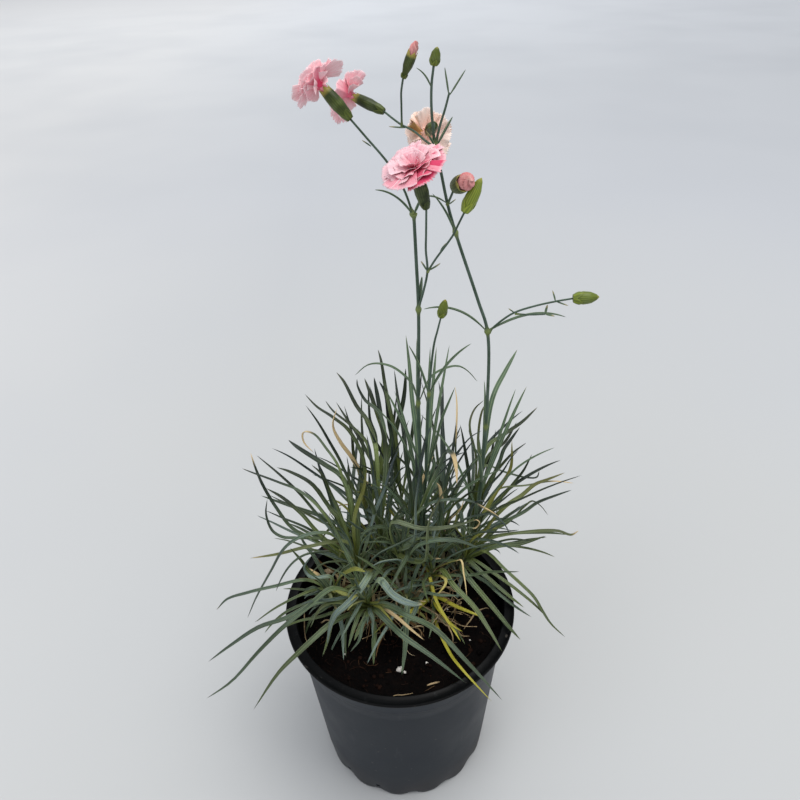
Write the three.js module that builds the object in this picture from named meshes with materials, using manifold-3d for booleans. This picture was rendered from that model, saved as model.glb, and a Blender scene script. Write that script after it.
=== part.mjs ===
// A garden pink (dianthus) in a round nursery pot: grey-green tufts of narrow leaves, two flowering
// stems and a young one, four double blooms and six buds, in soil.
// Millimetres, +Z up. The origin is the centre of the pot's underside, and -Y is the front.
import * as THREE from "three";
import { mergeVertices } from "three/addons/utils/BufferGeometryUtils.js";
import Module from "manifold-3d";

const wasm = await Module();
wasm.setup();
const { Manifold } = wasm;

// ---- Driving dimensions ----
const POT = {
  height: 168,
  rimRadius: 90,
  rimThickness: 2.2,
  mouthRadius: 82,
  collarRadius: 83,
  collarHeight: 145,
  wallTopRadius: 81.6,
  footRadius: 70.5,
  wall: 1.8,
  floor: 4.6,
  sides: 30,
  lobes: 15,
  notchWidth: 5,
  notchHeight: 4,
  notchDepth: 9,
  drainRadius: 2,
  drainHeight: 11,
};
const SOIL = { level: 154, bumps: 1.4, gap: 0.8, rings: 2, sides: 20 };
const STEM_HOLE = { depth: 22, gap: 0.4, sides: 4, corner: 1.45, above: 8 };
const STUB = { low: 1.8, high: 1.4 };
const SHOOT_STEM = { low: 2.5, high: 2.1, sides: 4 };
const LEAF = { steps: 24, keel: 1.1, rootWidth: 0.5, blade: 0.4, tries: 10 };
// How far from its stem's middle a leaf starts.
const ROOT_OFFSET = { shoot: 1.0, stem: 0.7, bract: 0.2, withered: 0.8 };
const CLEARANCE = 0.35; // between solids of different nodes
const SEAT_GAP = 0.45; // between a calyx and its stalk, and petals and their calyx
const SIMPLIFY = 0.05;
const PETAL = { thickness: 0.6, claw: 1.5, ringStep: 0.6, rootDepth: 1.5 };

const UP = new THREE.Vector3(0, 0, 1);
const radians = THREE.MathUtils.degToRad;
const point = (p) => new THREE.Vector3(...p);

// ---- Small tools ----

// Park-Miller numbers from 0 to 1.
function randomSource(seed) {
  let state = seed % 2147483647;
  return () => {
    state = (state * 16807) % 2147483647;
    return state / 2147483647;
  };
}

const between = (random, low, high) => low + (high - low) * random();

function smooth(t) {
  const x = Math.min(1, Math.max(0, t));
  return x * x * (3 - 2 * x);
}

// A solid from vertices and triangles, turned so that its faces point out.
function solidOf(vertices, triangles) {
  const vertProperties = new Float32Array(vertices.flatMap((v) => [v.x, v.y, v.z]));
  const make = (list) =>
    new Manifold(new wasm.Mesh({ numProp: 3, vertProperties, triVerts: new Uint32Array(list.flat()) }));
  const made = make(triangles);
  return made.volume() > 0 ? made : make(triangles.map(([a, b, c]) => [a, c, b]));
}

function solidOfGeometry(geometry) {
  const bare = geometry.index ? geometry.toNonIndexed() : geometry.clone();
  bare.deleteAttribute("normal");
  bare.deleteAttribute("uv");
  const merged = mergeVertices(bare, 1e-4);
  const { array } = merged.attributes.position;
  const vertices = [];
  for (let i = 0; i < array.length; i += 3) vertices.push(new THREE.Vector3().fromArray(array, i));
  const triangles = [];
  for (let i = 0; i < merged.index.count; i += 3) triangles.push([...merged.index.array.slice(i, i + 3)]);
  return solidOf(vertices, triangles);
}

function geometryOfSolid(solid) {
  const { numProp, vertProperties, triVerts } = solid.getMesh();
  const position = new Float32Array((vertProperties.length / numProp) * 3);
  for (let i = 0; i < position.length / 3; i++) {
    position.set(vertProperties.subarray(i * numProp, i * numProp + 3), i * 3);
  }
  const geometry = new THREE.BufferGeometry();
  geometry.setAttribute("position", new THREE.BufferAttribute(position, 3));
  geometry.setIndex(new THREE.BufferAttribute(triVerts, 1));
  geometry.computeVertexNormals();
  return geometry;
}

// A closed skin through rings of equal count. A ring of one point is a tip, and the other ends are capped.
function loft(rings) {
  const vertices = [];
  const starts = rings.map((ring) => vertices.push(...ring) - ring.length);
  const triangles = [];
  for (let r = 0; r + 1 < rings.length; r++) {
    const [a, b] = [starts[r], starts[r + 1]];
    const [na, nb] = [rings[r].length, rings[r + 1].length];
    for (let i = 0; i < Math.max(na, nb); i++) {
      const j = (i + 1) % Math.max(na, nb);
      if (na > 1) triangles.push([a + i, a + j, nb > 1 ? b + j : b]);
      if (nb > 1) triangles.push([na > 1 ? a + i : a, b + j, b + i]);
    }
  }
  const last = rings.length - 1;
  for (let i = 1; i + 1 < rings[0].length; i++) triangles.push([starts[0], starts[0] + i + 1, starts[0] + i]);
  for (let i = 1; i + 1 < rings[last].length; i++) {
    triangles.push([starts[last], starts[last] + i, starts[last] + i + 1]);
  }
  return solidOf(vertices, triangles);
}

// A round bar along points, with a radius at each. A radius of 0 at the end makes a tip.
function bar(points, radii, sides) {
  let side = null;
  const rings = points.map((p, k) => {
    const ahead = points[Math.min(k + 1, points.length - 1)];
    const behind = points[Math.max(k - 1, 0)];
    const direction = ahead.clone().sub(behind).normalize();
    const seed = side ?? new THREE.Vector3(...(Math.abs(direction.x) < 0.9 ? [1, 0, 0] : [0, 1, 0]));
    side = seed.clone().addScaledVector(direction, -seed.dot(direction)).normalize();
    const across = direction.clone().cross(side);
    if (radii[k] === 0) return [p];
    return Array.from({ length: sides }, (_, i) => {
      const angle = (2 * Math.PI * i) / sides;
      return p
        .clone()
        .addScaledVector(side, radii[k] * Math.cos(angle))
        .addScaledVector(across, radii[k] * Math.sin(angle));
    });
  });
  return loft(rings);
}

function curveThrough(points, pieces) {
  return new THREE.CatmullRomCurve3(points, false, "centripetal").getPoints(pieces);
}

// ---- Pot and soil ----

const potWallRadius = (z) => POT.footRadius + ((POT.wallTopRadius - POT.footRadius) * z) / POT.collarHeight;

// The inside of the pot's wall, which opens a little more above the collar's foot.
function potInnerRadius(z) {
  const { collarHeight, height, mouthRadius, wall } = POT;
  if (z <= collarHeight) return potWallRadius(z) - wall;
  const collarFoot = potWallRadius(collarHeight) - wall;
  return collarFoot + ((mouthRadius - collarFoot) * (z - collarHeight)) / (height - collarHeight);
}

function potSolid() {
  const { height, rimRadius, rimThickness, collarHeight, collarRadius, mouthRadius, footRadius, floor } = POT;
  const profile = [
    [0, 0],
    [footRadius - 2, 0],
    [footRadius, 2],
    [potWallRadius(collarHeight), collarHeight],
    [collarRadius, collarHeight + 1.5],
    [collarRadius + 0.5, height - rimThickness],
    [rimRadius, height - rimThickness],
    [rimRadius, height],
    [mouthRadius, height],
    [potInnerRadius(collarHeight), collarHeight],
    [potInnerRadius(floor), floor],
    [0, floor],
  ].map(([radius, z]) => new THREE.Vector2(radius, z));
  // The lathe's flat sides are turned so that a notch is at the middle of every other one.
  const lathe = new THREE.LatheGeometry(profile, POT.sides).rotateX(Math.PI / 2);
  lathe.rotateZ(lobeAngle(0) + Math.PI / POT.sides);
  const cuts = [];
  for (let i = 0; i < POT.lobes; i++) {
    const notch = new THREE.BoxGeometry(POT.notchDepth, POT.notchWidth, 2 * POT.notchHeight);
    cuts.push(solidOfGeometry(notch.translate(footRadius, 0, 0).rotateZ(lobeAngle(i))));
    if (i % 5 > 1) continue;
    const drain = new THREE.CylinderGeometry(POT.drainRadius, POT.drainRadius, POT.notchDepth, 6);
    drain.rotateZ(Math.PI / 2).translate(footRadius, 0, POT.drainHeight).rotateZ(lobeAngle(i));
    cuts.push(solidOfGeometry(drain));
  }
  return solidOfGeometry(lathe).subtract(Manifold.union(cuts));
}

// The middle of the notch before each lobe of the foot. Drain holes stand over two notches in five.
const lobeAngle = (i) => radians(-135 + (360 * i) / POT.lobes);

// The soil's surface: low waves that fade out at the pot's wall.
function soilHeight(x, y) {
  const share = Math.hypot(x, y) / POT.mouthRadius;
  const waves = Math.sin(x * 0.11 + 1.3) * Math.cos(y * 0.13 - 0.4) + 0.6 * Math.sin(x * 0.23 - y * 0.19);
  return SOIL.level + SOIL.bumps * waves * (1 - share ** 4) + 3 * (1 - share ** 2);
}

function soilSolid(stems) {
  const bottom = POT.floor + SOIL.gap;
  const edge = SOIL.level - 3;
  const highRadius = potInnerRadius(edge) - SOIL.gap;
  const circle = (radius, height) =>
    Array.from({ length: SOIL.sides }, (_, i) => {
      const angle = (2 * Math.PI * i) / SOIL.sides;
      const [x, y] = [radius * Math.cos(angle), radius * Math.sin(angle)];
      return new THREE.Vector3(x, y, height ?? soilHeight(x, y));
    });
  const rings = [bottom, POT.collarHeight, edge].map((z) => circle(potInnerRadius(z) - SOIL.gap, z));
  for (let k = SOIL.rings; k > 0; k--) rings.push(circle(((highRadius - 1) * k) / SOIL.rings));
  rings.push([new THREE.Vector3(0, 0, soilHeight(0, 0))]);
  const holes = stems.map(({ at: [x, y], radius }) => {
    const across = (radius + STEM_HOLE.gap) * STEM_HOLE.corner;
    const length = STEM_HOLE.depth + STEM_HOLE.above;
    const hole = new THREE.CylinderGeometry(across, across, length, STEM_HOLE.sides).rotateX(Math.PI / 2);
    return solidOfGeometry(hole.translate(x, y, SOIL.level - STEM_HOLE.depth + length / 2));
  });
  return loft(rings).subtract(Manifold.union(holes));
}

// ---- Leaves ----

// Points along a leaf, with its upper side's normal and its width. azimuth and rise give its direction at the
// root, droop is how far it bends down and sweep how far it turns aside by its tip, all in radians. offset is
// how far from its stem's middle it starts, on its own side.
function leafLine(leaf) {
  const line = [];
  const outward = new THREE.Vector3(Math.cos(leaf.azimuth), Math.sin(leaf.azimuth), 0);
  const at = leaf.root.clone().addScaledVector(outward, leaf.offset);
  const step = leaf.length / LEAF.steps;
  for (let k = 0; k <= LEAF.steps; k++) {
    const s = k / LEAF.steps;
    const azimuth = leaf.azimuth + leaf.sweep * s * s;
    const rise = leaf.rise - leaf.droop * s ** 1.5;
    const direction = new THREE.Vector3(
      Math.cos(azimuth) * Math.cos(rise),
      Math.sin(azimuth) * Math.cos(rise),
      Math.sin(rise),
    );
    const level = new THREE.Vector3(-Math.sin(azimuth), Math.cos(azimuth), 0);
    const across = level.applyAxisAngle(direction, leaf.twist * s);
    const normal = direction.clone().cross(across);
    const taper = (1 - s ** 2.4) ** 0.9;
    const width = leaf.width * (LEAF.rootWidth + (1 - LEAF.rootWidth) * smooth(s / 0.3)) * taper;
    line.push({ at: at.clone(), across, normal, width });
    at.addScaledVector(direction, step);
  }
  return line;
}

// How many of a leaf's steps each stretch of its solid spans.
function leafStride({ length }) {
  if (length < 20) return LEAF.steps;
  return length < 95 ? LEAF.steps / 3 : LEAF.steps / 4;
}

// The blade from a share of its length to its tip: flat above, with a keel below.
function leafSolid(leaf, from = 0) {
  const rings = [];
  const line = leafLine(leaf);
  const stride = leafStride(leaf);
  for (let k = stride * Math.round((from * LEAF.steps) / stride); k < LEAF.steps; k += stride) {
    const { at, across, normal, width } = line[k];
    rings.push([
      at.clone().addScaledVector(across, width / 2),
      at.clone().addScaledVector(across, -width / 2),
      at.clone().addScaledVector(normal, -LEAF.keel * (0.55 + (0.45 * width) / leaf.width)),
    ]);
  }
  rings.push([line[LEAF.steps].at]);
  return loft(rings);
}

const riseOf = (v) => Math.asin(v.z / v.length());
const azimuthOf = (v) => Math.atan2(v.y, v.x);

// A leaf turned and lengthened about its root so that it ends at a given tip.
function aimedLeaf(leaf, tip) {
  const chord = tip.clone().sub(leaf.root);
  const aimed = { ...leaf, azimuth: azimuthOf(chord), rise: riseOf(chord), length: chord.length() };
  for (let k = 0; k < 4; k++) {
    const reach = leafLine(aimed)[LEAF.steps].at.sub(leaf.root);
    aimed.azimuth += azimuthOf(chord) - azimuthOf(reach);
    aimed.rise += riseOf(chord) - riseOf(reach);
    aimed.length *= chord.length() / reach.length();
  }
  return aimed;
}

// ---- What is placed already, so that later leaves keep clear of it ----

const placed = [];

function place(node, solid, blade = null) {
  placed.push({ node, solid, blade, box: solid.boundingBox() });
}

function boxesMeet(a, b) {
  return [0, 1, 2].every((i) => a.min[i] - CLEARANCE < b.max[i] && b.min[i] - CLEARANCE < a.max[i]);
}

// Whether a leaf keeps clear of the other nodes, and its blade of the other blades of its own node.
function isClear(node, solid, blade) {
  const box = solid.boundingBox();
  return placed
    .filter((other) => boxesMeet(box, other.box))
    .every((other) => {
      if (other.node !== node) return solid.minGap(other.solid, CLEARANCE) >= CLEARANCE;
      return !other.blade || blade.minGap(other.blade, CLEARANCE) >= CLEARANCE;
    });
}

// The first variant of a leaf that is clear, or null. variant gives the leaf for a try's own random numbers.
function clearLeaf(node, seed, variant) {
  for (let attempt = 0; attempt < LEAF.tries; attempt++) {
    const leaf = variant(randomSource(seed * 1009 + attempt * 7919 + 1), attempt);
    const solid = leafSolid(leaf);
    const blade = leafSolid(leaf, LEAF.blade);
    if (isClear(node, solid, blade)) {
      place(node, solid, blade);
      return solid;
    }
  }
  return null;
}

// ---- Leafy shoots ----

// at and heart are the stem's foot in the soil and its growing tip. Its short leaves stand in pairs, each
// turned a quarter from the last: the lowest pair rises by spread degrees, and the heart's is nearly upright.
const SHOOTS = [
  { name: "front", at: [-20, -4], heart: [-26, -13, 187], pairs: 5, length: 66, spread: 8, seed: 11 },
  { name: "front_mid", at: [4, 0], heart: [6, -7, 182], pairs: 4, length: 60, spread: 12, seed: 12 },
  { name: "left_tuft", at: [-47, 9], heart: [-54, 2, 178], pairs: 5, length: 56, spread: 10, seed: 13 },
  { name: "left", at: [-28, 26], heart: [-33, 22, 190], pairs: 4, length: 84, spread: 30, seed: 14 },
  { name: "left_back", at: [-40, 44], heart: [-46, 46, 196], pairs: 4, length: 98, spread: 26, seed: 15 },
  { name: "middle_front", at: [4, 24], heart: [2, 22, 192], pairs: 6, length: 76, spread: 30, seed: 16 },
  { name: "right_front", at: [26, 20], heart: [27, 17, 190], pairs: 6, length: 72, spread: 24, seed: 17 },
  { name: "right", at: [52, 34], heart: [58, 32, 192], pairs: 5, length: 78, spread: 24, seed: 18 },
  { name: "centre", at: [12, 50], heart: [15, 48, 219], pairs: 6, length: 112, spread: 40, seed: 19 },
  { name: "centre_left", at: [-12, 40], heart: [-14, 38, 210], pairs: 6, length: 106, spread: 34, seed: 20 },
  { name: "centre_right", at: [38, 42], heart: [37, 38, 218], pairs: 6, length: 108, spread: 42, seed: 21 },
  { name: "back_left", at: [-20, 62], heart: [-24, 62, 208], pairs: 4, length: 112, spread: 34, seed: 22 },
  { name: "back", at: [6, 68], heart: [5, 72, 226], pairs: 4, length: 112, spread: 38, seed: 23 },
  { name: "back_right", at: [38, 64], heart: [42, 68, 220], pairs: 4, length: 108, spread: 36, seed: 24 },
  { name: "right_back", at: [54, 50], heart: [66, 55, 204], pairs: 4, length: 96, spread: 30, seed: 25 },
].map((shoot) => ({ ...shoot, name: `shoot_${shoot.name}` }));

// Long leaves, as [x, y and z of the tip, droop in degrees, width]. A flowering stem's leaves also have the
// height that they grow from.
const LONG_LEAVES = {
  shoot_front: [
    [-137, -80, 174, 25, 5.4],
    [-137, -60, 187, 30, 5.0],
    [-106, -72, 150, 40, 4.6],
    [-59, -47, 167, 50, 3.8],
    [-40, -42, 169, 60, 3.8],
    [44, -76, 170, 32, 5.0],
    [68, -88, 166, 32, 5.2],
  ],
  shoot_front_mid: [[4, -62, 169, 60, 4.6]],
  shoot_left_tuft: [
    [-138, -18, 190, 40, 4.2],
    [-110, -24, 181, 45, 4.0],
    [-91, 4, 184, 30, 3.4],
  ],
  shoot_left: [
    [-122, -2, 158, 95, 4.8],
    [-103, 58, 230, -75, 3.4],
    [-102, 50, 193, 35, 3.2],
    [-113, 10, 214, 30, 4.6],
    [-119, 61, 261, 38, 3.8],
    [-112, 69, 270, 20, 4.0],
    [-101, 52, 247, 30, 4.6],
    [-93, 67, 255, 40, 5.2],
    [-83, 80, 272, 34, 5.6],
    [-63, 52, 269, 34, 4.0],
    [-34, 42, 278, 20, 4.4],
    [-20, 34, 277, 22, 5.0],
    [5, 36, 295, 26, 6.2],
  ],
  shoot_left_back: [[-70, 113, 293, 46, 4.2]],
  shoot_middle_front: [[84, 24, 222, 110, 4.6]],
  shoot_right_front: [[72, -58, 178, 40, 5.2]],
  shoot_right: [
    [133, 58, 248, 18, 5.4],
    [140, 45, 236, 22, 5.4],
    [143, 23, 213, 38, 4.2],
    [120, 28, 202, 30, 4.4],
    [124, 13, 195, 40, 3.2],
    [123, -40, 166, 30, 4.6],
    [112, -25, 169, 35, 3.6],
    [95, -19, 176, 30, 4.4],
    [87, -48, 177, 40, 5.2],
    [0, 14, 208, 45, 4.6],
  ],
  shoot_centre_left: [
    [-52, 97, 297, 38, 4.2],
    [-42, 107, 317, 34, 5.0],
    [-9, 62, 302, 22, 5.4],
  ],
  shoot_back_left: [[-20, 107, 310, 12, 4.2]],
  shoot_back: [[-8, 114, 332, 6, 4.0]],
  shoot_right_back: [
    [117, 87, 288, 16, 4.4],
    [103, 83, 271, 18, 4.0],
    [108, 76, 261, 20, 4.4],
    [111, 66, 257, 12, 4.0],
    [145, 57, 232, 20, 2.6],
    [120, 72, 234, -30, 2.8],
    [128, 58, 196, 85, 2.8],
  ],
  yellow_leaves: [
    [44, -42, 170, 36, 3.6],
    [60, -86, 162, 44, 3.6],
  ],
  flower_stem_left: [
    [14, 102, 351, 10, 4.8, 262],
    [22, 98, 350, 4, 4.2, 258],
    [-24, 46, 353, 105, 3.4, 338],
    [62, 46, 343, 100, 2.8, 338],
  ],
  flower_stem_right: [
    [100, 101, 334, 18, 4.8, 268],
    [107, 88, 308, 14, 4.2, 244],
    [99, 90, 305, 8, 3.8, 240],
  ],
  flower_stem_young: [
    [38, 109, 335, 12, 4.4, 262],
    [48, 108, 337, 8, 3.4, 250],
    [33, 108, 336, 0, 4.0, 246],
  ],
};

const stemHoles = [];

function shootStem(at, heart) {
  const foot = new THREE.Vector3(at[0], at[1], SOIL.level - STEM_HOLE.depth + SEAT_GAP);
  const ground = new THREE.Vector3(at[0], at[1], SOIL.level + 6);
  const tip = point(heart);
  const middle = ground.clone().lerp(tip, 0.5);
  middle.z += 2;
  stemHoles.push({ at, radius: SHOOT_STEM.low });
  const points = [foot, ground, middle, tip];
  const { low, high, sides } = SHOOT_STEM;
  return { points, solid: bar(points, [low, low, (low + high) / 2, high], sides) };
}

// The direction of a leaf that stands at azimuth and rise about a leaning stem.
function leanedDirection(lean, azimuth, rise) {
  const direction = new THREE.Vector3(
    Math.cos(azimuth) * Math.cos(rise),
    Math.sin(azimuth) * Math.cos(rise),
    Math.sin(rise),
  ).applyQuaternion(lean);
  return { azimuth: azimuthOf(direction), rise: riseOf(direction) };
}

function shootLeafRule(shoot, points, pair, which) {
  const [, ground, , tip] = points;
  const lean = new THREE.Quaternion().setFromUnitVectors(UP, tip.clone().sub(ground).normalize());
  const up = pair / (shoot.pairs - 1);
  const root = ground.clone().lerp(tip, 0.3 + 0.67 * up);
  const fullness = 0.62 + 0.46 * Math.sin(Math.PI * (0.18 + 0.62 * up));
  return (random, attempt) => {
    const loose = 1 + attempt * 0.25;
    const turn = shoot.seed + pair * (Math.PI / 2) + which * Math.PI + between(random, -0.3, 0.3) * loose;
    const stand = radians(shoot.spread + (84 - shoot.spread) * up ** 0.9 + between(random, -9, 9) * loose);
    const { azimuth, rise } = leanedDirection(lean, turn, stand);
    return {
      root,
      offset: ROOT_OFFSET.shoot,
      azimuth,
      rise,
      droop: radians(between(random, 10, 58) * (1 - 0.5 * up)),
      sweep: between(random, -0.5, 0.5),
      twist: between(random, -0.7, 0.7),
      length: shoot.length * fullness * between(random, 0.8, 1.12),
      width: between(random, 4.0, 5.4) * (1 - 0.2 * up),
    };
  };
}

// A long leaf grows from higher on its stem the steeper it stands. Where something is in its way, its tip
// moves a little.
function longLeafRule([x, y, z, droop, width], offset, rootAt) {
  const tip = new THREE.Vector3(x, y, z);
  return (random, attempt) => {
    const sway = new THREE.Vector3(between(random, -1, 1), between(random, -1, 1), between(random, -1, 1));
    const steepness = Math.max(0, riseOf(tip.clone().sub(rootAt(0.5)))) / (Math.PI / 2);
    return aimedLeaf(
      {
        root: rootAt(0.4 + 0.5 * steepness),
        offset,
        droop: radians(droop + between(random, -4, 4) * attempt),
        sweep: 0,
        twist: between(random, -0.5, 0.5),
        width,
      },
      tip.clone().addScaledVector(sway, 1.6 * attempt),
    );
  };
}

// ---- Withered shoots: short dead stubs, whose leaves hang. size is a leaf's length and width. ----

const WITHERED = [
  { name: "yellow_leaves", at: [26, 4], top: 15, leaves: 3, size: [62, 3.2], aim: -80, fan: 70, seed: 41 },
  { name: "dry_front", at: [-8, -14], top: 12, leaves: 6, size: [52, 1.6], aim: -80, fan: 220, seed: 42 },
  { name: "dry_centre", at: [12, 10], top: 14, leaves: 7, size: [58, 1.6], aim: -50, fan: 260, seed: 43 },
  { name: "dry_left", at: [-42, 24], top: 12, leaves: 5, size: [60, 1.7], aim: 190, fan: 200, seed: 44 },
];

function witheredLeafRule(stub, k) {
  const root = new THREE.Vector3(...stub.at, SOIL.level + stub.top * (0.7 + (0.25 * k) / stub.leaves));
  return (random, attempt) => {
    const share = stub.leaves > 1 ? k / (stub.leaves - 1) - 0.5 : 0;
    return {
      root,
      offset: ROOT_OFFSET.withered,
      azimuth: radians(stub.aim + stub.fan * share + between(random, -12, 12) * (1 + attempt * 0.4)),
      rise: radians(between(random, 14, 46)),
      droop: radians(between(random, 30, 66)),
      sweep: between(random, -1.2, 1.2),
      twist: between(random, -1.5, 1.5),
      length: stub.size[0] * between(random, 0.6, 1.05),
      width: stub.size[1] * between(random, 0.8, 1.15),
    };
  };
}

// ---- Flowering stems ----

// Each run is a list of joints; radius is given at its two ends. Leaves at a joint are a bract pair or single
// blades with their own direction in degrees. The stalks end where a calyx or bud is seated.
const FLOWER_STEMS = {
  flower_stem_left: {
    foot: [20, 34],
    runs: [
      {
        line: [
          [20, 34, 170], [20, 36, 272], [19, 32, 322], [20, 26, 413], [19, 24, 447], [18, 22, 476],
        ],
        ends: [1.9, 1.4],
      },
      {
        line: [
          [18, 22, 474], [13, 24, 489], [5, 26, 503], [-7, 27, 518], [-14, 26, 527],
        ],
        ends: [1.0, 0.85],
      },
      {
        line: [
          [20, 26, 414], [23, 20, 429], [25, 15, 444], [24, 12, 458], [24, 9, 469], [24, 5, 485],
        ],
        ends: [1.1, 0.85],
      },
      {
        line: [
          [25, 15, 443], [29, 13, 451], [39, 10, 467], [42, 9, 474], [45, 8, 481],
        ],
        ends: [0.9, 0.85],
      },
    ],
    joints: [
      [19, 31, 338, 2.2],
      [20, 26, 413, 2.4],
      [18, 22, 476, 2.5],
    ],
    blades: [
      { root: [18, 22, 475], azimuth: 205, rise: 58, droop: 50, length: 31, width: 2.2 },
      { root: [18, 22, 476], azimuth: -30, rise: 66, droop: 4, length: 14, width: 2.4 },
      { root: [20, 26, 412], azimuth: 20, rise: 84, droop: 0, length: 23, width: 3.8 },
      { root: [25, 15, 444], azimuth: 170, rise: 62, droop: 8, length: 7, width: 1.6 },
      { root: [25, 15, 444], azimuth: -10, rise: 30, droop: -12, length: 9, width: 1.6 },
      { root: [-4, 26, 513], azimuth: 215, rise: 40, droop: 8, length: 7, width: 1.3 },
      { root: [9, 25, 497], azimuth: 185, rise: 58, droop: 8, length: 6, width: 1.3 },
      { root: [32, 12, 457], azimuth: 20, rise: 50, droop: 6, length: 6, width: 1.4 },
    ],
  },
  flower_stem_right: {
    foot: [64, 40],
    runs: [
      {
        line: [
          [64, 40, 170], [67, 38, 268], [67, 32, 337], [64, 28, 394], [57, 27, 417], [42, 24, 463],
          [37, 23, 481], [33, 22, 500], [30, 21, 513],
        ],
        ends: [1.9, 1.1],
      },
      {
        line: [
          [64, 28, 393], [73, 26, 403], [80, 24, 409], [92, 22, 414], [104, 21, 417],
          [114, 20, 419],
        ],
        ends: [1.0, 0.85],
      },
      { line: [[80, 24, 408], [89, 22, 408], [98, 20, 409]], ends: [0.8, 0.8] },
      { line: [[37, 23, 480], [39, 19, 487], [40, 14, 493]], ends: [1.0, 0.9] },
      { line: [[30, 21, 512], [28, 19, 532], [28, 18, 544], [29, 17, 553]], ends: [1.1, 0.9] },
      {
        line: [
          [30, 21, 512], [25, 25, 515], [19, 30, 519], [13, 35, 521], [9, 39, 523], [4, 44, 526],
        ],
        ends: [0.9, 0.8],
      },
      { line: [[13, 35, 520], [13, 32, 532], [13, 29, 539], [14, 26, 546]], ends: [0.8, 0.8] },
      { line: [[30, 21, 512], [32, 20, 522], [35, 19, 532], [37, 18, 540]], ends: [1.1, 0.8] },
      { line: [[30, 21, 512], [29, 22, 519], [30, 26, 523], [30, 28, 522]], ends: [0.9, 0.8] },
    ],
    joints: [
      [67, 34, 312, 2.2],
      [64, 28, 394, 2.5],
      [42, 24, 463, 2.1],
      [30, 21, 513, 1.8],
    ],
    blades: [
      { root: [64, 28, 394], azimuth: 196, rise: 52, droop: 60, length: 52, width: 2.4 },
      { root: [64, 28, 394], azimuth: -8, rise: 36, droop: 60, length: 52, width: 2.4 },
      { root: [80, 24, 409], azimuth: 200, rise: 40, droop: 0, length: 6, width: 1.4 },
      { root: [104, 21, 417], azimuth: 120, rise: 60, droop: 0, length: 7, width: 1.3 },
      { root: [104, 21, 417], azimuth: -20, rise: -14, droop: 0, length: 8, width: 1.3 },
      { root: [98, 20, 409], azimuth: 60, rise: 55, droop: 0, length: 6, width: 1.6 },
      { root: [98, 20, 409], azimuth: -30, rise: 0, droop: 0, length: 6, width: 1.6 },
      { root: [42, 24, 463], azimuth: 205, rise: 68, droop: 22, length: 30, width: 2.0 },
      { root: [37, 23, 481], azimuth: 200, rise: 40, droop: 50, length: 17, width: 1.6 },
      { root: [37, 23, 480], azimuth: -20, rise: 35, droop: -10, length: 6, width: 1.3 },
      { root: [30, 21, 513], azimuth: 215, rise: 58, droop: 4, length: 11, width: 1.8 },
      { root: [31, 21, 514], azimuth: -5, rise: 62, droop: 4, length: 16, width: 2.4 },
      { root: [28, 18, 543], azimuth: 200, rise: 66, droop: 42, length: 13, width: 1.4 },
      { root: [37, 18, 539], azimuth: 160, rise: 80, droop: 0, length: 13, width: 1.5 },
      { root: [37, 18, 539], azimuth: 0, rise: 56, droop: 0, length: 14, width: 1.5 },
      { root: [15, 33, 520], azimuth: 175, rise: 5, droop: 0, length: 9, width: 1.3 },
    ],
  },
  flower_stem_young: {
    foot: [22, 50],
    runs: [
      {
        line: [
          [22, 50, 170], [24, 38, 260], [26, 24, 350], [29, 18, 392], [31, 16, 403], [33, 15, 413],
        ],
        ends: [1.5, 0.8],
      },
    ],
    joints: [[26, 24, 350, 1.9]],
    blades: [
      { root: [26, 24, 350], azimuth: 200, rise: 78, droop: 16, length: 44, width: 2.6 },
      { root: [26, 24, 350], azimuth: 10, rise: 66, droop: 40, length: 46, width: 2.6 },
    ],
  },
};
const STEM_SIDES = { main: 5, branch: 4 };
// Long leaves in pairs up the lower part of each flowering stem: heights above the ground, and their seeds.
const STEM_LEAVES = [
  { stem: "flower_stem_left", heights: [196, 224, 262], turn: 0.4, length: 108, seed: 61 },
  { stem: "flower_stem_right", heights: [196, 222, 256], turn: 1.1, length: 100, seed: 62 },
  { stem: "flower_stem_young", heights: [200, 230, 266], turn: 0.1, length: 100, seed: 63 },
];

function flowerStemParts(name) {
  const { foot, runs, joints, blades } = FLOWER_STEMS[name];
  stemHoles.push({ at: foot, radius: runs[0].ends[0] });
  const low = new THREE.Vector3(foot[0], foot[1], SOIL.level - STEM_HOLE.depth + SEAT_GAP);
  const bars = runs.map(({ line, ends: [start, end] }, k) => {
    const knots = line.map(point);
    if (k === 0) knots.unshift(low);
    const points = k === 0 ? curveThrough(knots, knots.length + 1) : knots;
    const radii = points.map((_, i) => start + ((end - start) * i) / (points.length - 1));
    return bar(points, radii, k === 0 ? STEM_SIDES.main : STEM_SIDES.branch);
  });
  const swellings = joints.map(([x, y, z, radius]) => {
    const ball = new THREE.OctahedronGeometry(radius, 0).scale(1, 1, 1.25);
    return solidOfGeometry(ball.rotateZ(0.4).translate(x, y, z));
  });
  const leaves = blades.map(({ root, azimuth, rise, droop, ...size }) =>
    leafSolid({
      root: point(root),
      offset: ROOT_OFFSET.bract,
      azimuth: radians(azimuth),
      rise: radians(rise),
      droop: radians(droop),
      sweep: 0,
      twist: 0,
      ...size,
    }),
  );
  return [...bars, ...swellings, ...leaves];
}

// Where a flowering stem's main line is at a height.
function stemPointAt(name, z) {
  const line = FLOWER_STEMS[name].runs[0].line;
  const k = line.findIndex((p, i) => i > 0 && p[2] >= z);
  const [a, b] = [point(line[k - 1]), point(line[k])];
  return a.lerp(b, (z - a.z) / (b.z - a.z));
}

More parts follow.
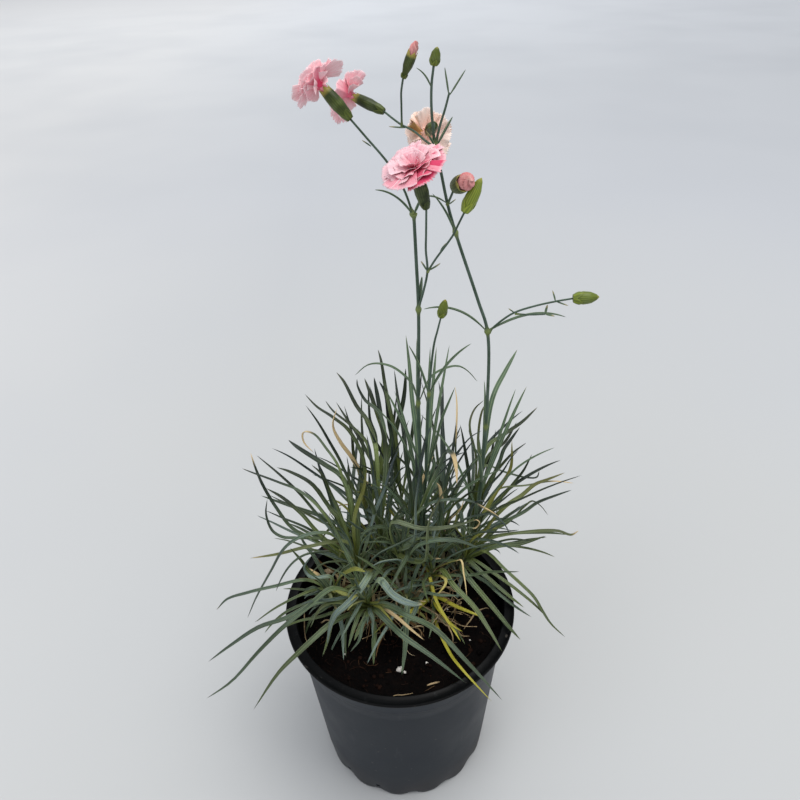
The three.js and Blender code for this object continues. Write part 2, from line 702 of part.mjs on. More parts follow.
function stemLeafRule({ stem, heights, turn, length }, pair, which) {
  const root = stemPointAt(stem, heights[pair]);
  return (random, attempt) => ({
    root,
    offset: ROOT_OFFSET.stem,
    azimuth: turn + pair * 1.57 + which * Math.PI + between(random, -0.25, 0.25) * (1 + attempt * 0.3),
    rise: radians(between(random, 62, 78) - attempt),
    droop: radians(between(random, 6, 42)),
    sweep: between(random, -0.4, 0.4),
    twist: between(random, -0.6, 0.6),
    length: length * (1 - 0.11 * pair) * between(random, 0.82, 1.08),
    width: between(random, 3.6, 4.6) * (1 - 0.07 * pair),
  });
}

// ---- Calyxes, blooms and buds ----

// base is where the stalk ends, axis points from there to the mouth, and face is where the petals face.
const FLOWERS = [
  { name: "front", base: [24, 5, 485], axis: [-0.25, -0.18, 0.95], face: [-0.42, -0.27, 0.87], length: 20 },
  { name: "left", base: [-14, 26, 527], axis: [-0.65, 0.2, 0.74], face: [-0.72, 0.12, 0.68], length: 20 },
  { name: "behind", base: [4, 44, 526], axis: [-0.84, 0.42, 0.34], face: [-0.82, 0.42, 0.4], length: 19 },
  { name: "faded", base: [30, 28, 522], axis: [-0.1, 0.9, -0.42], face: [-0.1, 0.88, -0.46], length: 17 },
];
const BLOOM = {
  front: { radius: 4.1, tone: "pink", lift: 4, seed: 71 },
  left: { radius: 4.0, tone: "pink", lift: 3.2, seed: 72 },
  behind: { radius: 3.8, tone: "pink", lift: 2.8, seed: 73 },
  faded: { radius: 3.6, tone: "peach", lift: 2.9, seed: 74 },
};
// Rings of petals, from the outside in: how many, their tilt from the axis in degrees, length and width.
const PETAL_RINGS = {
  front: [
    { count: 5, tilt: 98, length: 19, width: 21, lift: 0 },
    { count: 5, tilt: 74, length: 17, width: 16, lift: 1.2 },
    { count: 3, tilt: 48, length: 11.5, width: 13, lift: 2.4 },
  ],
  left: [
    { count: 5, tilt: 100, length: 16, width: 19, lift: 0 },
    { count: 4, tilt: 62, length: 16, width: 18, lift: 1.2 },
    { count: 2, tilt: 26, length: 13.5, width: 11, lift: 2.4 },
  ],
  behind: [
    { count: 5, tilt: 88, length: 18.5, width: 20, lift: 0 },
    { count: 3, tilt: 44, length: 15, width: 16, lift: 1.4 },
  ],
  faded: [
    { count: 5, tilt: 86, length: 15.5, width: 18, lift: 0 },
    { count: 3, tilt: 46, length: 12, width: 13, lift: 1.4 },
  ],
};
const BUDS = [
  { name: "tall", base: [14, 26, 546], axis: [0.38, -0.1, 0.92], length: 13, radius: 3.0, tip: 6 },
  { name: "opening", base: [40, 14, 493], axis: [0.4, -0.79, 0.47], length: 11, radius: 4.6, tip: 6 },
  { name: "top", base: [29, 17, 553], axis: [0.2, -0.08, 0.98], length: 10, radius: 2.6, tip: 0 },
  { name: "green", base: [45, 8, 481], axis: [0.4, -0.1, 0.91], length: 21, radius: 3.8, tip: 0 },
  { name: "side", base: [114, 20, 419], axis: [0.98, -0.12, 0.08], length: 16, radius: 4.1, tip: 0 },
  { name: "young", base: [33, 15, 413], axis: [0.2, -0.1, 0.97], length: 14, radius: 3.0, tip: 0 },
];
const CALYX = { sides: 10, tooth: 3.2, cup: 4.5, wall: 0.9 };

// A turn that carries +Z to an axis, and a shift to a base.
function standOn(base, axis) {
  const turn = new THREE.Quaternion().setFromUnitVectors(UP, point(axis).normalize());
  return new THREE.Matrix4().compose(point(base), turn, new THREE.Vector3(1, 1, 1));
}

function ringAt(radius, height, sides, matrix, reach = () => 0) {
  return Array.from({ length: sides }, (_, i) => {
    const angle = (2 * Math.PI * i) / sides;
    const z = height + reach(i);
    return new THREE.Vector3(radius * Math.cos(angle), radius * Math.sin(angle), z).applyMatrix4(matrix);
  });
}

// A green cup with five teeth. Petals or a furled tip stand in it.
function calyxSolid({ base, axis, length, radius }) {
  const matrix = standOn(base, axis);
  const teeth = (i) => (i % 2 ? -CALYX.tooth * 0.4 : CALYX.tooth * 0.6);
  const ring = (share, height, reach) => ringAt(radius * share, height, CALYX.sides, matrix, reach);
  const inner = (radius - CALYX.wall) / radius;
  return loft([
    ring(0.42, SEAT_GAP),
    ring(0.86, length * 0.14),
    ring(1, length * 0.6),
    ring(0.92, length, teeth),
    ring(inner * 0.92, length, (i) => teeth(i) - 0.5),
    ring(inner * 0.86, length - CALYX.cup),
  ]);
}

// A closed green bud: five sepals that meet in a point.
function closedBudSolid({ base, axis, length, radius }) {
  const matrix = standOn(base, axis);
  const sides = 8;
  const rings = [
    [0.4, 0],
    [0.8, 0.1],
    [1, 0.38],
    [0.88, 0.66],
    [0.42, 0.9],
  ].map(([share, up]) => ringAt(radius * share, SEAT_GAP + length * up, sides, matrix));
  rings.push(ringAt(0, length, 1, matrix));
  return loft(rings);
}

// The furled petals of an opening bud.
function furledTipSolid({ base, axis, length, radius, tip }) {
  const matrix = standOn(base, axis);
  const inner = radius - CALYX.wall - SEAT_GAP - 0.25;
  const floor = length - CALYX.cup + SEAT_GAP;
  const rings = [
    [0.8, floor],
    [0.8, length + 1.2],
    [1.4, length + tip * 0.45],
    [1.2, length + tip * 0.8],
    [0.4, length + tip],
  ].map(([share, up]) => ringAt(inner * share, up, 7, matrix));
  return loft(rings);
}

// A point of a petal in its bloom's frame: along from 0 at the claw to 1 at the edge, aside from -1 to 1.
function petalPoint(petal, along, aside) {
  const reach = along * (1 - 0.12 * aside * aside);
  let [out, up] = [petal.rootRadius, petal.lift - PETAL.rootDepth];
  const pieces = 8;
  for (let k = 0; k < pieces; k++) {
    const angle = petal.tilt * smooth((reach * (k + 0.5)) / pieces / 0.45);
    out += (Math.sin(angle) * petal.length * reach) / pieces;
    up += (Math.cos(angle) * petal.length * reach) / pieces;
  }
  const bend = petal.tilt * smooth(reach / 0.45);
  const half = PETAL.claw / 2 + (petal.width / 2 - PETAL.claw / 2) * along;
  const wave = petal.ruffle * along ** 2 * Math.sin(petal.waves * aside + petal.phase);
  const cup = petal.cup * along * aside * aside + petal.roll * along * aside;
  const lift = wave + cup;
  const radial = out - Math.cos(bend) * lift;
  const height = up + Math.sin(bend) * lift;
  const [c, s] = [Math.cos(petal.azimuth), Math.sin(petal.azimuth)];
  const side = aside * half;
  return new THREE.Vector3(radial * c - side * s, radial * s + side * c, height);
}

// Petal rows, from claw to edge: place along, and points across. The edge's odd points are drawn in as teeth.
const PETAL_ROWS = [
  { along: 0, across: 2 },
  { along: 0.45, across: 3 },
  { along: 1, across: 5, teeth: 0.08 },
];

// Triangles between two rows of different counts, each spread evenly over the same width.
function zipRows(first, firstCount, second, secondCount) {
  const triangles = [];
  let [i, j] = [0, 0];
  while (i + 1 < firstCount || j + 1 < secondCount) {
    const nextFirst = (i + 1) / (firstCount - 1);
    const nextSecond = (j + 1) / (secondCount - 1);
    if (j + 1 < secondCount && (i + 1 >= firstCount || nextSecond <= nextFirst)) {
      triangles.push([first + i, second + j, second + j + 1]);
      j++;
    } else {
      triangles.push([first + i, second + j, first + i + 1]);
      i++;
    }
  }
  return triangles;
}

function petalSolid(petal, matrix) {
  const above = [];
  const below = [];
  const starts = [];
  for (const { along, across, teeth = 0 } of PETAL_ROWS) {
    starts.push(above.length);
    for (let i = 0; i < across; i++) {
      const aside = (2 * i) / (across - 1) - 1;
      const place = along - (i % 2 ? teeth : 0);
      const p = petalPoint(petal, place, aside);
      const ahead = petalPoint(petal, place + 0.02, aside).sub(p);
      const across1 = petalPoint(petal, place, aside + 0.02).sub(p);
      const normal = ahead.cross(across1).normalize();
      above.push(p.clone().addScaledVector(normal, PETAL.thickness / 2).applyMatrix4(matrix));
      below.push(p.clone().addScaledVector(normal, -PETAL.thickness / 2).applyMatrix4(matrix));
    }
  }
  const face = [];
  for (let r = 0; r + 1 < PETAL_ROWS.length; r++) {
    face.push(...zipRows(starts[r], PETAL_ROWS[r].across, starts[r + 1], PETAL_ROWS[r + 1].across));
  }
  const total = above.length;
  const last = PETAL_ROWS.length - 1;
  const firsts = starts;
  const lasts = starts.map((start, r) => start + PETAL_ROWS[r].across - 1);
  const edge = Array.from({ length: PETAL_ROWS[last].across }, (_, i) => firsts[last] + i);
  const rim = [lasts[0], firsts[0], ...firsts.slice(1, last), ...edge, ...lasts.slice(1, last).reverse()];
  const triangles = [...face, ...face.map(([a, b, c]) => [total + a, total + c, total + b])];
  rim.forEach((a, k) => {
    const b = rim[(k + 1) % rim.length];
    triangles.push([b, a, total + a], [b, total + a, total + b]);
  });
  return solidOf([...above, ...below], triangles);
}

// The bundle of claws in a bloom's calyx.
const bundleRadius = ({ name }) => (BLOOM[name].radius - CALYX.wall) * 0.86 - SEAT_GAP - 0.35;

function petalsOf(flower) {
  const random = randomSource(BLOOM[flower.name].seed * 97);
  return PETAL_RINGS[flower.name].flatMap((ring, r) =>
    Array.from({ length: ring.count }, (_, i) => ({
      azimuth: (2 * Math.PI * (i + 0.5 * r)) / ring.count + between(random, -0.06, 0.06),
      tilt: radians(ring.tilt + between(random, -9, 9)),
      length: ring.length * between(random, 0.92, 1.05),
      width: ring.width * between(random, 0.92, 1.08),
      lift: ring.lift,
      rootRadius: bundleRadius(flower) - PETAL.ringStep * r,
      ruffle: between(random, 0.5, 1.1),
      waves: between(random, 3.4, 5.2),
      phase: between(random, 0, 6.28),
      cup: between(random, -0.4, 1.6),
      roll: between(random, 0.9, 1.7),
    })),
  );
}

// The petals of a bloom and the bundle of claws that they grow from, which stands in the calyx.
function bloomSolid(flower) {
  const { lift } = BLOOM[flower.name];
  const axis = point(flower.axis).normalize();
  const mouth = point(flower.base).addScaledVector(axis, flower.length);
  const matrix = standOn(mouth.toArray(), flower.axis);
  const bundle = bundleRadius(flower);
  const rings = [
    [bundle * 0.9, SEAT_GAP - CALYX.cup],
    [bundle, 1],
    [bundle * 1.15, lift],
    [bundle * 0.9, lift + 1.5],
    [bundle * 0.4, lift + 4],
  ].map(([radius, height]) => ringAt(radius, height, 7, matrix));
  const faceMatrix = standOn(mouth.addScaledVector(axis, lift).toArray(), flower.face);
  return fused([loft(rings), ...petalsOf(flower).map((petal) => petalSolid(petal, faceMatrix))]);
}

// ---- Materials ----
const MATERIALS = {
  pot: { color: "#2b2e31", roughness: 0.45 },
  soil: { color: "#1d140f", roughness: 1 },
  leaf: { color: "#50705f", roughness: 0.6 },
  stem: { color: "#4f7a52", roughness: 0.55 },
  calyx: { color: "#6f9440", roughness: 0.5 },
  pink: { color: "#f09cae", roughness: 0.6 },
  peach: { color: "#f0c3a6", roughness: 0.65 },
  yellow: { color: "#c6bf45", roughness: 0.65 },
  straw: { color: "#bb9c6a", roughness: 0.8 },
};

function meshOf(name, solid, material) {
  const mesh = new THREE.Mesh(
    geometryOfSolid(solid.simplify(SIMPLIFY)),
    new THREE.MeshStandardMaterial({ metalness: 0, ...MATERIALS[material] }),
  );
  mesh.name = name;
  return mesh;
}

// All of a node's solids as one, without loose scraps or sealed hollows.
function fused(solids) {
  const shells = Manifold.union(solids).decompose();
  return shells.reduce((largest, shell) => (shell.volume() > largest.volume() ? shell : largest));
}

// ---- Assembly ----

const plant = new THREE.Group();
const parts = new Map(); // node name to { solids, material }

function addPart(name, material, ...solids) {
  if (!parts.has(name)) parts.set(name, { material, solids: [] });
  parts.get(name).solids.push(...solids);
}

function addAndPlace(name, material, ...solids) {
  addPart(name, material, ...solids);
  solids.forEach((solid) => place(name, solid));
}

addAndPlace("pot", "pot", potSolid());
for (const name of Object.keys(FLOWER_STEMS)) addAndPlace(name, "stem", ...flowerStemParts(name));
for (const flower of FLOWERS) {
  const { radius, tone } = BLOOM[flower.name];
  addAndPlace(`calyx_${flower.name}`, "calyx", calyxSolid({ ...flower, radius }));
  addAndPlace(`petals_${flower.name}`, tone, bloomSolid(flower));
}
for (const bud of BUDS) {
  addAndPlace(`bud_${bud.name}`, "calyx", bud.tip ? calyxSolid(bud) : closedBudSolid(bud));
  if (bud.tip) addAndPlace(`bud_${bud.name}_petals`, "pink", furledTipSolid(bud));
}
const shootStems = SHOOTS.map((shoot) => {
  const { points, solid } = shootStem(shoot.at, shoot.heart);
  addAndPlace(shoot.name, "leaf", solid);
  return points;
});
for (const stub of WITHERED) {
  const [x, y] = stub.at;
  const foot = new THREE.Vector3(x, y, SOIL.level - STEM_HOLE.depth + SEAT_GAP);
  const top = new THREE.Vector3(x, y, SOIL.level + stub.top);
  stemHoles.push({ at: stub.at, radius: STUB.low });
  const tone = stub.name === "yellow_leaves" ? "yellow" : "straw";
  addAndPlace(stub.name, tone, bar([foot, top], [STUB.low, STUB.high], SHOOT_STEM.sides));
}
addAndPlace("soil", "soil", soilSolid(stemHoles));

// Where a shoot's leaf grows from, at a share of its stem above the ground.
const rootOnShoot =
  ([, ground, , tip]) =>
  (share) =>
    ground.clone().lerp(tip, share);

function addLongLeaves(node, seed, offset, rootOf) {
  (LONG_LEAVES[node] ?? []).forEach((row, i) => {
    const leaf = clearLeaf(node, seed * 100 + 50 + i, longLeafRule(row, offset, rootOf(row)));
    if (leaf) addPart(node, "leaf", leaf);
  });
}

SHOOTS.forEach(({ name, seed }, k) => {
  addLongLeaves(name, seed, ROOT_OFFSET.shoot, () => rootOnShoot(shootStems[k]));
});
for (const { stem, seed } of STEM_LEAVES) {
  addLongLeaves(stem, seed, ROOT_OFFSET.stem, ([, , , , , height]) => () => stemPointAt(stem, height));
}
for (const { name, at, top, seed } of WITHERED) {
  const root = new THREE.Vector3(...at, SOIL.level + top * 0.8);
  addLongLeaves(name, seed, ROOT_OFFSET.withered, () => () => root);
}
for (const set of STEM_LEAVES) {
  for (let pair = 0; pair < set.heights.length; pair++) {
    for (const which of [0, 1]) {
      const leaf = clearLeaf(set.stem, set.seed * 100 + pair * 2 + which, stemLeafRule(set, pair, which));
      if (leaf) addPart(set.stem, "stem", leaf);
    }
  }
}
const mostPairs = Math.max(...SHOOTS.map((shoot) => shoot.pairs));
for (let pair = 0; pair < mostPairs; pair++) {
  SHOOTS.forEach((shoot, k) => {
    if (pair >= shoot.pairs) return;
    for (const which of [0, 1]) {
      const rule = shootLeafRule(shoot, shootStems[k], pair, which);
      const leaf = clearLeaf(shoot.name, shoot.seed * 100 + pair * 2 + which, rule);
      if (leaf) addPart(shoot.name, "leaf", leaf);
    }
  });
}
for (const stub of WITHERED) {
  for (let k = 0; k < stub.leaves; k++) {
    const leaf = clearLeaf(stub.name, stub.seed * 100 + k, witheredLeafRule(stub, k));
    if (leaf) addPart(stub.name, "straw", leaf);
  }
}

for (const [name, { material, solids }] of parts) {
  plant.add(meshOf(name, solids.length > 1 ? fused(solids) : solids[0], material));
}

export default plant;
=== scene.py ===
import math

import bmesh
import bpy
import numpy as np
from mathutils import Matrix, Vector, kdtree, noise


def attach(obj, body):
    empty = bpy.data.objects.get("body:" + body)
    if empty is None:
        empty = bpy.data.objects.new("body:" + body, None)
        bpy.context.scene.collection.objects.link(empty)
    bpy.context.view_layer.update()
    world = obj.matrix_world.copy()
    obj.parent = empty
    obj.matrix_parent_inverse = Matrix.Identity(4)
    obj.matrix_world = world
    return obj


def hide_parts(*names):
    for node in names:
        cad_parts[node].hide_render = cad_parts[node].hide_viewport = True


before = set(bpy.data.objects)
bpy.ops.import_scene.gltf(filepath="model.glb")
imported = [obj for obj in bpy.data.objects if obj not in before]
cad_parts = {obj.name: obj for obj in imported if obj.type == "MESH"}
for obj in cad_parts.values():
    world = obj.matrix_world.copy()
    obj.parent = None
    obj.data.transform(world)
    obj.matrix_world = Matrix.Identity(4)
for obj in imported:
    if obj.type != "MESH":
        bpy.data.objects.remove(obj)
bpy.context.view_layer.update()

MM = 0.001
UP = Vector((0, 0, 1))

# ---- Sizes that the pieces share with the model ----
POT = {
    "height": 168, "rim_radius": 90, "rim_thickness": 2.2, "mouth_radius": 82,
    "collar_radius": 83, "collar_height": 145, "wall_top_radius": 81.6, "foot_radius": 70.5,
    "wall": 1.8, "floor": 4.6, "lobes": 15, "first_lobe": -135,
    "notch_width": 11, "notch_height": 4, "notch_depth": 9,
    "drain_radius": 2, "drain_height": 11, "drain_reach": 6, "arch": 1.6,
}
SOIL = {"level": 154, "bumps": 1.4, "gap": 0.8}
STEM_DEPTH = 22
SEAT_GAP = 0.45
STUB = {"low": 1.8, "high": 1.4}
SHOOT_STEM = {"low": 2.5, "high": 2.1}
LEAF = {"steps": 24, "keel": 1.1, "root_width": 0.5, "tries": 10, "match": 0.3}
ROOT_OFFSET = {"shoot": 1.0, "stem": 0.7, "bract": 0.2, "withered": 0.8}
PETAL = {"claw": 1.8, "root_depth": 1.5, "thickness": 0.26}
CALYX = {"tooth": 2.4, "cup": 4.5, "wall": 0.4}

# name, foot in the soil, growing tip, leaf pairs, leaf length, spread of the lowest pair, seed
SHOOTS = [
    ("front", (-20, -4), (-26, -13, 187), 5, 66, 8, 11),
    ("front_mid", (4, 0), (6, -7, 182), 4, 60, 12, 12),
    ("left_tuft", (-47, 9), (-54, 2, 178), 5, 56, 10, 13),
    ("left", (-28, 26), (-33, 22, 190), 4, 84, 30, 14),
    ("left_back", (-40, 44), (-46, 46, 196), 4, 98, 26, 15),
    ("middle_front", (4, 24), (2, 22, 192), 6, 76, 30, 16),
    ("right_front", (26, 20), (27, 17, 190), 6, 72, 24, 17),
    ("right", (52, 34), (58, 32, 192), 5, 78, 24, 18),
    ("centre", (12, 50), (15, 48, 219), 6, 112, 40, 19),
    ("centre_left", (-12, 40), (-14, 38, 210), 6, 106, 34, 20),
    ("centre_right", (38, 42), (37, 38, 218), 6, 108, 42, 21),
    ("back_left", (-20, 62), (-24, 62, 208), 4, 112, 34, 22),
    ("back", (6, 68), (5, 72, 226), 4, 112, 38, 23),
    ("back_right", (38, 64), (42, 68, 220), 4, 108, 36, 24),
    ("right_back", (54, 50), (66, 55, 204), 4, 96, 30, 25),
]

# Long leaves: x, y and z of the tip, droop in degrees, width, and on a flowering stem the height of the root.
LONG_LEAVES = {
    "shoot_front": [
        (-137, -80, 174, 25, 5.4), (-137, -60, 187, 30, 5.0), (-106, -72, 150, 40, 4.6),
        (-59, -47, 167, 50, 3.8), (-40, -42, 169, 60, 3.8), (44, -76, 170, 32, 5.0), (68, -88, 166, 32, 5.2),
    ],
    "shoot_front_mid": [(4, -62, 169, 60, 4.6)],
    "shoot_left_tuft": [(-138, -18, 190, 40, 4.2), (-110, -24, 181, 45, 4.0), (-91, 4, 184, 30, 3.4)],
    "shoot_left": [
        (-122, -2, 158, 95, 4.8), (-103, 58, 230, -75, 3.4),
        (-102, 50, 193, 35, 3.2), (-113, 10, 214, 30, 4.6),
        (-119, 61, 261, 38, 3.8), (-112, 69, 270, 20, 4.0), (-101, 52, 247, 30, 4.6), (-93, 67, 255, 40, 5.2),
        (-83, 80, 272, 34, 5.6), (-63, 52, 269, 34, 4.0), (-34, 42, 278, 20, 4.4), (-20, 34, 277, 22, 5.0),
        (5, 36, 295, 26, 6.2),
    ],
    "shoot_left_back": [(-70, 113, 293, 46, 4.2)],
    "shoot_middle_front": [(84, 24, 222, 110, 4.6)],
    "shoot_right_front": [(72, -58, 178, 40, 5.2)],
    "shoot_right": [
        (133, 58, 248, 18, 5.4), (140, 45, 236, 22, 5.4), (143, 23, 213, 38, 4.2), (120, 28, 202, 30, 4.4),
        (124, 13, 195, 40, 3.2), (123, -40, 166, 30, 4.6), (112, -25, 169, 35, 3.6), (95, -19, 176, 30, 4.4),
        (87, -48, 177, 40, 5.2), (0, 14, 208, 45, 4.6),
    ],
    "shoot_centre_left": [(-52, 97, 297, 38, 4.2), (-42, 107, 317, 34, 5.0), (-9, 62, 302, 22, 5.4)],
    "shoot_back_left": [(-20, 107, 310, 12, 4.2)],
    "shoot_back": [(-8, 114, 332, 6, 4.0)],
    "shoot_right_back": [
        (117, 87, 288, 16, 4.4), (103, 83, 271, 18, 4.0), (108, 76, 261, 20, 4.4), (111, 66, 257, 12, 4.0),
        (145, 57, 232, 20, 2.6), (120, 72, 234, -30, 2.8), (128, 58, 196, 85, 2.8),
    ],
    "yellow_leaves": [(44, -42, 170, 36, 3.6), (60, -86, 162, 44, 3.6)],
    "flower_stem_left": [
        (14, 102, 351, 10, 4.8, 262), (22, 98, 350, 4, 4.2, 258),
        (-24, 46, 353, 105, 3.4, 338), (62, 46, 343, 100, 2.8, 338),
    ],
    "flower_stem_right": [
        (100, 101, 334, 18, 4.8, 268), (107, 88, 308, 14, 4.2, 244), (99, 90, 305, 8, 3.8, 240),
    ],
    "flower_stem_young": [
        (38, 109, 335, 12, 4.4, 262), (48, 108, 337, 8, 3.4, 250), (33, 108, 336, 0, 4.0, 246),
    ],
}

# name, foot, top above the soil, leaves, leaf length and width, aim and fan in degrees, seed
WITHERED = [
    ("yellow_leaves", (26, 4), 15, 3, (62, 3.2), -80, 70, 41),
    ("dry_front", (-8, -14), 12, 6, (52, 1.6), -80, 220, 42),
    ("dry_centre", (12, 10), 14, 7, (58, 1.6), -50, 260, 43),
    ("dry_left", (-42, 24), 12, 5, (60, 1.7), 190, 200, 44),
]

# A run is its points and its radius at each end. A joint is x, y, z and radius. A blade is its root, its
# azimuth, rise and droop in degrees, its length and its width.
FLOWER_STEMS = {
    "flower_stem_left": {
        "runs": [
            ([(20, 34, 170), (20, 36, 272), (19, 32, 322), (20, 26, 413), (19, 24, 447), (18, 22, 476)],
             1.9, 1.4),
            ([(18, 22, 474), (13, 24, 489), (5, 26, 503), (-7, 27, 518), (-14, 26, 527)], 1.0, 0.85),
            ([(20, 26, 414), (23, 20, 429), (25, 15, 444), (24, 12, 458), (24, 9, 469), (24, 5, 485)],
             1.1, 0.85),
            ([(25, 15, 443), (29, 13, 451), (39, 10, 467), (42, 9, 474), (45, 8, 481)], 0.9, 0.85),
        ],
        "joints": [(19, 31, 338, 2.2), (20, 26, 413, 2.4), (18, 22, 476, 2.5)],
        "blades": [
            ((18, 22, 475), 205, 58, 50, 31, 2.2), ((18, 22, 476), -30, 66, 4, 14, 2.4),
            ((20, 26, 412), 20, 84, 0, 23, 3.8), ((25, 15, 444), 170, 62, 8, 7, 1.6),
            ((25, 15, 444), -10, 30, -12, 9, 1.6), ((-4, 26, 513), 215, 40, 8, 7, 1.3),
            ((9, 25, 497), 185, 58, 8, 6, 1.3), ((32, 12, 457), 20, 50, 6, 6, 1.4),
        ],
    },
    "flower_stem_right": {
        "runs": [
            (
                [
                    (64, 40, 170), (67, 38, 268), (67, 32, 337), (64, 28, 394), (57, 27, 417), (42, 24, 463),
                    (37, 23, 481), (33, 22, 500), (30, 21, 513),
                ],
                1.9, 1.1,
            ),
            ([(64, 28, 393), (73, 26, 403), (80, 24, 409), (92, 22, 414), (104, 21, 417), (114, 20, 419)],
             1.0, 0.85),
            ([(80, 24, 408), (89, 22, 408), (98, 20, 409)], 0.8, 0.8),
            ([(37, 23, 480), (39, 19, 487), (40, 14, 493)], 1.0, 0.9),
            ([(30, 21, 512), (28, 19, 532), (28, 18, 544), (29, 17, 553)], 1.1, 0.9),
            ([(30, 21, 512), (25, 25, 515), (19, 30, 519), (13, 35, 521), (9, 39, 523), (4, 44, 526)],
             0.9, 0.8),
            ([(13, 35, 520), (13, 32, 532), (13, 29, 539), (14, 26, 546)], 0.8, 0.8),
            ([(30, 21, 512), (32, 20, 522), (35, 19, 532), (37, 18, 540)], 1.1, 0.8),
            ([(30, 21, 512), (29, 22, 519), (30, 26, 523), (30, 28, 522)], 0.9, 0.8),
        ],
        "joints": [(67, 34, 312, 2.2), (64, 28, 394, 2.5), (42, 24, 463, 2.1), (30, 21, 513, 1.8)],
        "blades": [
            ((64, 28, 394), 196, 52, 60, 52, 2.4), ((64, 28, 394), -8, 36, 60, 52, 2.4),
            ((80, 24, 409), 200, 40, 0, 6, 1.4), ((104, 21, 417), 120, 60, 0, 7, 1.3),
            ((104, 21, 417), -20, -14, 0, 8, 1.3), ((98, 20, 409), 60, 55, 0, 6, 1.6),
            ((98, 20, 409), -30, 0, 0, 6, 1.6), ((42, 24, 463), 205, 68, 22, 30, 2.0),
            ((37, 23, 481), 200, 40, 50, 17, 1.6), ((37, 23, 480), -20, 35, -10, 6, 1.3),
            ((30, 21, 513), 215, 58, 4, 11, 1.8), ((31, 21, 514), -5, 62, 4, 16, 2.4),
            ((28, 18, 543), 200, 66, 42, 13, 1.4), ((37, 18, 539), 160, 80, 0, 13, 1.5),
            ((37, 18, 539), 0, 56, 0, 14, 1.5), ((15, 33, 520), 175, 5, 0, 9, 1.3),
        ],
    },
    "flower_stem_young": {
        "runs": [
            ([(22, 50, 170), (24, 38, 260), (26, 24, 350), (29, 18, 392), (31, 16, 403), (33, 15, 413)],
             1.5, 0.8),
        ],
        "joints": [(26, 24, 350, 1.9)],
        "blades": [((26, 24, 350), 200, 78, 16, 44, 2.6), ((26, 24, 350), 10, 66, 40, 46, 2.6)],
    },
}
# stem, heights of its leaf pairs, turn, length, seed
STEM_LEAVES = [
    ("flower_stem_left", (196, 224, 262), 0.4, 108, 61),
    ("flower_stem_right", (196, 222, 256), 1.1, 100, 62),
    ("flower_stem_young", (200, 230, 266), 0.1, 100, 63),
]

# name, base, axis, face, calyx length, calyx radius, lift of the petals, seed
FLOWERS = [
    ("front", (24, 5, 485), (-0.25, -0.18, 0.95), (-0.42, -0.27, 0.87), 20, 4.1, 4, 71),
    ("left", (-14, 26, 527), (-0.65, 0.2, 0.74), (-0.72, 0.12, 0.68), 20, 4.0, 3.2, 72),
    ("behind", (4, 44, 526), (-0.84, 0.42, 0.34), (-0.82, 0.42, 0.4), 19, 3.8, 2.8, 73),
    ("faded", (30, 28, 522), (-0.1, 0.9, -0.42), (-0.1, 0.88, -0.46), 17, 3.6, 2.9, 74),
]
# Rings of petals from the outside in: how many, tilt from the axis in degrees, length, width, lift.
PETAL_RINGS = {
    "front": [
        (6, 97, 18.5, 24, 0), (6, 86, 16.5, 20, 0.4), (6, 74, 13.5, 15.5, 0.8), (5, 58, 10.5, 12, 1.2),
        (4, 32, 8.5, 9, 1.6),
    ],
    "left": [(5, 62, 12, 11, 1.0), (4, 30, 10.5, 9, 1.8)],
    "behind": [(4, 46, 11, 10, 1.0), (3, 22, 10, 8, 1.8)],
    "faded": [(5, 70, 12, 13, 0.8), (3, 24, 10, 9, 1.6)],
}
# The outer petals of the blooms seen from the side or behind: the pixel of the edge's middle, how far it
# stands towards the viewer in millimetres, its width, and how tanned it is.
SEEN_PETALS = {
    "left": [
        ((344, 63), -4, 13, 0), ((333, 61), -7, 11, 0), ((321, 62), -3, 8, 0), ((316, 59), 1, 7, 0),
        ((307, 66), -4, 11, 0), ((300, 73), 2, 11, 0), ((298, 81), -3, 11, 0), ((299, 89), 5, 10, 0),
        ((291, 99), 0, 9, 0.05), ((298, 108), 3, 9, 0), ((310, 102), -3, 10, 0), ((307, 78), 8, 10, 0),
        ((313, 83), 10, 8, 0), ((304, 94), 7, 9, 0), ((322, 71), 6, 8, 0), ((327, 77), 3, 8, 0),
    ],
    "behind": [
        ((351, 70), 1, 8, 0), ((359, 76), 3, 8, 0), ((365, 72), -3, 9, 0), ((344, 77), -6, 9, 0),
        ((336, 85), -4, 8, 0), ((338, 95), -8, 9, 0), ((333, 117), 0, 10, 0), ((338, 125), -3, 11, 0),
        ((344, 121), 2, 10, 0), ((349, 111), -3, 8, 0), ((357, 84), 5, 8, 0),
    ],
    "faded": [
        ((405, 131), 0, 13, 0.05), ((411, 114), -1, 12, 0.05), ((424, 107), 0, 13, 0),
        ((450, 121), 0, 13, 0.05), ((452, 137), 1, 15, 0), ((447, 155), 2, 14, 0.0),
        ((430, 158), 1, 16, 0), ((409, 146), 0, 15, 0.05), ((410, 124), 7, 8, 1.0),
        ((439, 113), -3, 9, 0.1),
    ],
}
# name, base, axis, length, radius, length of the petal tip
BUDS = [
    ("tall", (14, 26, 546), (0.38, -0.1, 0.92), 13, 3.0, 6),
    ("opening", (40, 14, 493), (0.4, -0.79, 0.47), 11, 4.6, 6),
    ("top", (29, 17, 553), (0.2, -0.08, 0.98), 10, 2.6, 0),
    ("green", (45, 8, 481), (0.4, -0.1, 0.91), 21, 3.8, 0),
    ("side", (114, 20, 419), (0.98, -0.12, 0.08), 16, 4.1, 0),
    ("young", (33, 15, 413), (0.2, -0.1, 0.97), 14, 3.0, 0),
]
# How light a bud's green is, from 0 to 1.
BUD_TINTS = {"tall": 0.15, "opening": 0.25, "top": 0.35, "green": 0.85, "side": 0.55, "young": 0.45}

# ---- Camera, floor and light ----
# Where the camera stands in metres, its turns in degrees, and its lens and sensor in millimetres.
CAMERA = {"at": (0.0, -0.360, 0.620), "pitch": 35.5, "yaw": 0.96, "roll": -2.09, "lens": 31.5, "sensor": 36.0}
